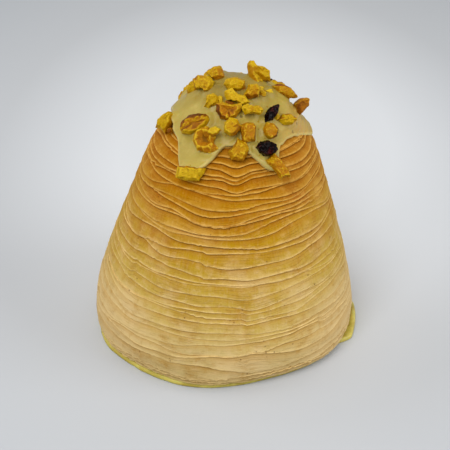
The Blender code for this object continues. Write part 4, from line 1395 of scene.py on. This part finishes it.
    @staticmethod
    def tree() -> ShapeTree:
        """The tree that refines a topping: rounder corners, skin, lumps, grain, and how hollow each
        point is, for painted shade and painted light.
        """
        tree = ShapeTree("Chop surface", Level="int", Rounding="int", Lump_size="float",
                         Lump_height="float", Grain_size="float", Grain_height="float", Seed="float",
                         Skin_side="vector", Skin_amount="float", Tone="float")
        fine = tree.out("GeometryNodeSubdivideMesh",
                        {"Mesh": tree.given("Geometry"), "Level": tree.given("Level")})
        soft = tree.out("GeometryNodeSetPosition",
                        {"Geometry": fine, "Position": tree.blurred(tree.given("Rounding"))})
        # Skin on the side it faces: the nut's own skin, and partly painted shade.
        facing = tree.vector("DOT_PRODUCT", tree.out("GeometryNodeInputNormal"),
                             tree.vector("NORMALIZE", tree.given("Skin_side")), output="Value")
        skin = tree.times(tree.fit(facing, 0.1, 0.95), tree.given("Skin_amount"))
        soft = tree.store(soft, "skin", skin)
        soft = tree.store(soft, "tone", tree.given("Tone"))
        soft = tree.roughened(tree.roughened(soft, "Lump"), "Grain", 3.0)
        # How hollow each point is (above 0) or how much on a ridge (below 0), for painted shade and
        # painted light.
        inwards = tree.vector("SUBTRACT", tree.blurred(6), tree.out("GeometryNodeInputPosition"))
        normal = tree.out("GeometryNodeInputNormal")
        hollow = tree.vector("DOT_PRODUCT", inwards, normal, output="Value")
        soft = tree.store(soft, "cavity", tree.over(hollow, 0.1 * MM))
        tree.finish(soft)
        return tree

    def coarse(self, bit: Bit, dice: np.random.Generator) -> Mesh:
        """A chopped piece with flat faces, standing in its own frame.

        Args:
            bit: The piece's cut and sizes.
            dice: Where its uneven corners come from.

        Returns:
            Its mesh: across along X, up along Y and outwards along Z.
        """
        outline = np.array(bit.cut.value, float)
        outline = np.repeat(outline, 2, axis=0)
        outline[1::2] = (outline[::2] + np.roll(outline[::2], -1, axis=0)) / 2
        count = len(outline)
        tilt = dice.uniform(-self.most_tilt, self.most_tilt, 2)
        rows = []
        for depth, share in self.rings:
            row = np.column_stack([outline * share, np.full(count, depth)])
            row[:, :2] += tilt * (0.5 if depth > 0.9 else 0.0)
            row[:, 2] += (outline @ tilt) * 0.5 * (depth > 0)
            rows.append(row + dice.uniform(-1, 1, row.shape) * self.stray * np.array([0.8, 0.8, 1.5]))
        back, front = [0, 0, -1.0], [0, 0, 0.95 - 2 * bit.hollow]
        centre = outline.mean(axis=0) * 0.8
        back[:2], front[:2] = centre, centre + tilt * 0.5
        points = np.vstack([*rows, [back], [front]]) * np.array(bit.size) / 2 * self.fuller * MM
        cosine, sine = math.cos(math.radians(bit.turn)), math.sin(math.radians(bit.turn))
        spin = np.array([[cosine, sine, 0], [-sine, cosine, 0], [0, 0, 1]])
        faces = tipped_faces(len(rows), count)
        mesh = mesh_of("cut_piece", points @ spin, faces)
        tones = np.repeat(dice.uniform(-1, 1, (len(faces) + 3) // 4), 4)[:len(faces)]
        tones[-2 * count + 1::2] = 0.8 if bit.hollow else dice.uniform(-0.7, 0.3)
        number_points(mesh, "facet", tones, "FACE")
        return mesh

    def frame_at(self, middle: Vector) -> Matrix:
        """The frame of a piece that lies here: across, up and outwards, as columns."""
        facing = math.degrees(math.atan2(middle.x, -middle.y))
        if middle.y < self.front:
            facing = max(-self.most_turned, min(self.most_turned, facing * self.facing_share))
        side, rise = math.radians(facing), math.radians(self.elevation)
        across = Vector((math.cos(side), math.sin(side), 0))
        flat = math.cos(rise)
        out = Vector((math.sin(side) * flat, -math.cos(side) * flat, math.sin(rise)))
        return Matrix((across, out.cross(across), out)).transposed()

    def piece(self, tree: ShapeTree, name: str, middle: Vector, bit: Bit, number: int,
              material: Material) -> Object:
        """Cut one topping and put it in its place.

        Args:
            tree: The tree that refines it.
            name: Its name.
            middle: Where its middle goes.
            bit: Its cut.
            number: The seed of its uneven corners.
            material: Its finish.

        Returns:
            The piece, at the origin.
        """
        flesh = Flesh.RAISIN if name.startswith("baked_raisin") else Flesh.NUT
        lump_size, lump_height, grain_size, grain_height = flesh.value
        turned = self.frame_at(middle)
        mesh = self.coarse(bit, np.random.default_rng(SEED + number))
        middle = middle + turned @ Vector(bit.shift) * MM
        mesh.transform(Matrix.Translation(middle) @ turned.to_4x4())
        share = min(1.0, bit.size[1] / self.small_below)
        return tree.grow(
            name, mesh, Level=self.level if share == 1 else self.level - 1, Rounding=3,
            Lump_size=lump_size * MM, Lump_height=lump_height * share * MM,
            Grain_size=grain_size * MM, Grain_height=grain_height * MM, Seed=float(number),
            Skin_side=turned @ Vector(bit.side), Skin_amount=bit.skin, Tone=bit.tone, Material=material)

    def build(self, nut: Material, raisin: Material) -> list[Object]:
        """Cut each topping, put it where its CAD node lies and seat it."""
        tree = self.tree()
        pieces = []
        names = sorted(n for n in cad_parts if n.startswith(("nut_", "raisin_")))
        for number, name in enumerate(names):
            dice = np.random.default_rng(3 * SEED + number)
            dried = name.startswith("raisin")
            cut = Cut.OVAL if dried else self.plain_cuts[number % len(self.plain_cuts)]
            bit = self.bits.get(name) or Bit(
                cut, self.plain_size, dice.uniform(-60, 60), dice.uniform(-0.25, 0.3),
                tuple(dice.uniform(-1, 1, 3)), dice.uniform(0, 0.7))
            low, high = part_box(name)
            material = raisin if dried else nut
            piece = self.piece(tree, "baked_" + name, (low + high) / 2, bit, number, material)
            pieces.append(dress(piece, "raisin_skin" if dried else "chopped_nut", name))
        for number, (azimuth, arc, bit) in enumerate(self.small, 1):
            lift = float(self.bell.pastry_lift(arc * MM))
            lift += (self.glaze_depth + self.small_lift * bit.size[2]) * MM
            middle = Vector(self.bell.point(azimuth, arc * MM, lift))
            seed = self.small_seed + number
            piece = self.piece(tree, f"nut_bit_{number:02d}", middle, bit, seed, nut)
            pieces.append(dress(piece, "chopped_nut"))
        return pieces


# ---------------------------------------------------------------- the filling


@dataclass
class FillingFoot:
    """The filling under the bell, with the rim that shows and its lobe."""

    bell: Bell
    height: float = 2.6 * MM
    radius: float = 61.8 * MM
    rim_azimuth: float = -52
    rim_width: float = 62
    rim_out: float = 2.7 * MM
    lobe_azimuth: float = 86
    lobe_width: float = 14
    lobe_out: float = 67.9 * MM
    lobe_height: float = 5.6 * MM
    columns: int = 480
    section: Sequence[tuple[float, float, float]] = (
        (1.3, 0.0, 0.0), (0.6, 0.08, 0.05), (0.15, 0.5, 0.2), (0.0, 1.1, 0.4), (0.1, 1.7, 0.65),
        (0.4, 2.2, 0.85), (0.9, 2.5, 0.97), (1.6, 2.6, 1.0), (2.6, 2.55, 0.95), (4.2, 2.5, 0.5),
        (7.0, 2.5, 0.0),
    )

    def build(self, material: Material) -> Object:
        """Build the filling and seat it for its CAD node."""
        azimuth = np.arange(self.columns) * 360.0 / self.columns
        flat = np.zeros_like(azimuth)
        shown = hill(azimuth, self.rim_azimuth, self.rim_width)
        waves = 0.5 * noise_skin(azimuth, flat, 29, MM, 61)
        waves = waves + 0.25 * noise_skin(azimuth, flat, 83, MM, 62)
        plain = self.radius + (self.rim_out + waves * MM) * shown - self.bell.tuck(azimuth, flat)
        spread = hill(azimuth, self.lobe_azimuth, self.lobe_width)
        out = plain + (self.lobe_out - plain) * ease(2 * spread)
        rise = (self.lobe_height - self.height) * ease(2 * spread - 1)
        rows = []
        for inset, high, share in self.section:
            ripple = 0.12 * noise_skin(azimuth, flat + high * 0.7 * MM, 60, MM, 63)
            ripple = ripple * (0.2 < high < 2.45)
            radius = out - (inset - ripple) * MM
            height = high * MM + share * rise
            angle = np.radians(azimuth)
            rows.append(np.stack([radius * np.sin(angle), -radius * np.cos(angle), height], axis=-1))
        points = np.vstack(rows)
        faces = grid_faces(len(rows), self.columns)
        faces += [tuple(range(self.columns)), tuple(range(len(points) - self.columns, len(points)))]
        mesh = mesh_of("filling", points, faces)
        return dress(piece_of(mesh, material), "filling_cream", "filling_layer")


# ---------------------------------------------------------------- crumbs


@dataclass
class Crumbs:
    """Small crumbs of nut on the glaze, near the nuts."""

    seed: int = SEED
    density: float = 22000.0  # crumbs a square metre
    smallest: float = 0.35 * MM
    largest: float = 1.0 * MM
    reach: float = 6 * MM  # how far from a nut's middle they are thick on the glaze
    paint: Sequence[tuple[str, float]] = (("tone", 0.1), ("skin", 0.1), ("cavity", 0.0), ("facet", 0.0))

    @staticmethod
    def tree() -> ShapeTree:
        """The tree that scatters crumbs over a surface where its attribute sown is high."""
        tree = ShapeTree("Scatter crumbs", Density="float", Smallest="float", Largest="float",
                         Seed="int")
        spread = tree.node("GeometryNodeDistributePointsOnFaces", {
            "Mesh": tree.given("Geometry"),
            "Density": tree.times(tree.given("Density"), tree.read("sown")),
            "Seed": tree.given("Seed")}, distribute_method="RANDOM")
        ball = tree.out("GeometryNodeMeshIcoSphere", {"Radius": 0.5, "Subdivisions": 1})
        turn = tree.out("FunctionNodeRandomValue", {0: (0, 0, 0), 1: (6.28, 6.28, 6.28), "Seed": 5},
                        data_type="FLOAT_VECTOR")
        size = tree.out("FunctionNodeRandomValue", {2: tree.given("Smallest"), 3: tree.given("Largest"),
                                                    "Seed": 6}, 1, data_type="FLOAT")
        shape = tree.out("FunctionNodeRandomValue", {0: (0.6, 0.6, 0.4), 1: (1.3, 1.0, 0.8), "Seed": 7},
                         data_type="FLOAT_VECTOR")
        copies = tree.out("GeometryNodeInstanceOnPoints", {
            "Points": spread.outputs["Points"], "Instance": ball, "Rotation": turn,
            "Scale": tree.scaled(shape, size)})
        whole = tree.out("GeometryNodeRealizeInstances", {"Geometry": copies})
        rough = tree.moved(whole, tree.swell(tree.times(tree.given("Largest"), 0.6),
                                             tree.times(tree.given("Largest"), 0.7), 3.0, 0.0))
        tree.finish(rough)
        return tree

    def on_glaze(self, glaze: Object, toppings: Sequence[Object], material: Material) -> Object:
        """Crumbs round the nuts."""
        middles = [sum((Vector(c) for c in piece.bound_box), Vector()) / 8 for piece in toppings]
        mesh = glaze.data.copy()
        sown = []
        for vert in mesh.vertices:
            near = min((vert.co - middle).length for middle in middles)
            sown.append(float(ease(1.6 - near / self.reach)) if vert.normal.z > 0.1 else 0.0)
        number_points(mesh, "sown", sown)
        mesh.materials.clear()
        piece = self.tree().grow("nut_crumbs", mesh, Density=self.density, Smallest=self.smallest,
                                 Largest=self.largest, Seed=self.seed, Material=material)
        for name, value in self.paint:
            number_points(piece.data, name, [value] * len(piece.data.vertices))
        return dress(piece, "chopped_nut")


# ---------------------------------------------------------------- the studio


@dataclass
class Studio:
    """A pale floor, soft lights and the camera."""

    elevation: float = 31.0
    distance: float = 0.6
    aim_height: float = 0.0535
    aim_across: float = 0.00074
    lens: float = 96.96
    floor_reach: float = 3.0
    # The lamps: name, place, side and power.
    lamps: Sequence[tuple[str, tuple[float, float, float], float, float]] = (
        ("key", (-0.35, -0.78, 1.05), 0.7, 9.9),
        ("fill", (0.95, -0.35, 0.6), 0.9, 6.1),
        ("back", (-0.9, 0.2, 0.8), 0.9, 3.2),
    )
    lit_height: float = 0.06  # the lamps face the object's middle here
    sky: Colour = (1.0, 0.99, 0.97)
    sky_strength: float = 0.55

    def floor(self) -> None:
        """Lay the floor just under the object."""
        reach = self.floor_reach
        corners = [(-reach, -reach, 0), (reach, -reach, 0), (reach, reach, 0), (-reach, reach, 0)]
        floor = piece_of(mesh_of("studio_floor", np.array(corners, float), [(0, 1, 2, 3)]),
                         FloorFinish().material())

    def camera(self) -> None:
        """Set the camera up, looking down on the front."""
        angle = math.radians(self.elevation)
        camera = bpy.data.objects.new("camera", bpy.data.cameras.new("camera"))
        camera.data.lens = self.lens
        camera.location = (self.aim_across, -self.distance * math.cos(angle),
                           self.aim_height + self.distance * math.sin(angle))
        camera.rotation_euler = (math.pi / 2 - angle, 0, 0)
        bpy.context.scene.collection.objects.link(camera)
        bpy.context.scene.camera = camera

    def lights(self) -> None:
        """Square area lights from above the front, the right and the back, and an even sky."""
        for name, place, side, power in self.lamps:
            light = bpy.data.lights.new(name, "AREA")
            light.size, light.energy = side, power
            lamp = bpy.data.objects.new(name, light)
            lamp.location = place
            aim = Vector((0, 0, self.lit_height)) - Vector(place)
            lamp.rotation_euler = aim.to_track_quat("-Z", "Y").to_euler()
            bpy.context.scene.collection.objects.link(lamp)
        world = bpy.data.worlds.new("sky")
        world.use_nodes = True
        back = world.node_tree.nodes["Background"]
        back.inputs["Color"].default_value = (*self.sky, 1)
        back.inputs["Strength"].default_value = self.sky_strength
        bpy.context.scene.world = world
        bpy.context.scene.view_settings.view_transform = "Standard"

    def build(self) -> None:
        """Set the studio up."""
        self.floor()
        self.camera()
        self.lights()


def main() -> None:
    """Build the studio, then the pastry, the toppings, the glaze and the crumbs."""
    logging.basicConfig(level=logging.INFO, format="%(name)s: %(message)s")
    bell = Bell()
    Studio().build()
    nut, glaze_skin = NutFinish().material(), GlazeFinish().material()
    WoundPastry(bell).build(PastryFinish().material())
    FillingFoot(bell).build(CreamFinish().material())
    toppings = Toppings(bell).build(nut, RaisinFinish().material())
    glaze = GlazeCap(bell).build(glaze_skin, toppings)
    Crumbs().on_glaze(glaze, toppings, nut)
    bpy.context.view_layer.update()


if __name__ == "__main__":
    main()
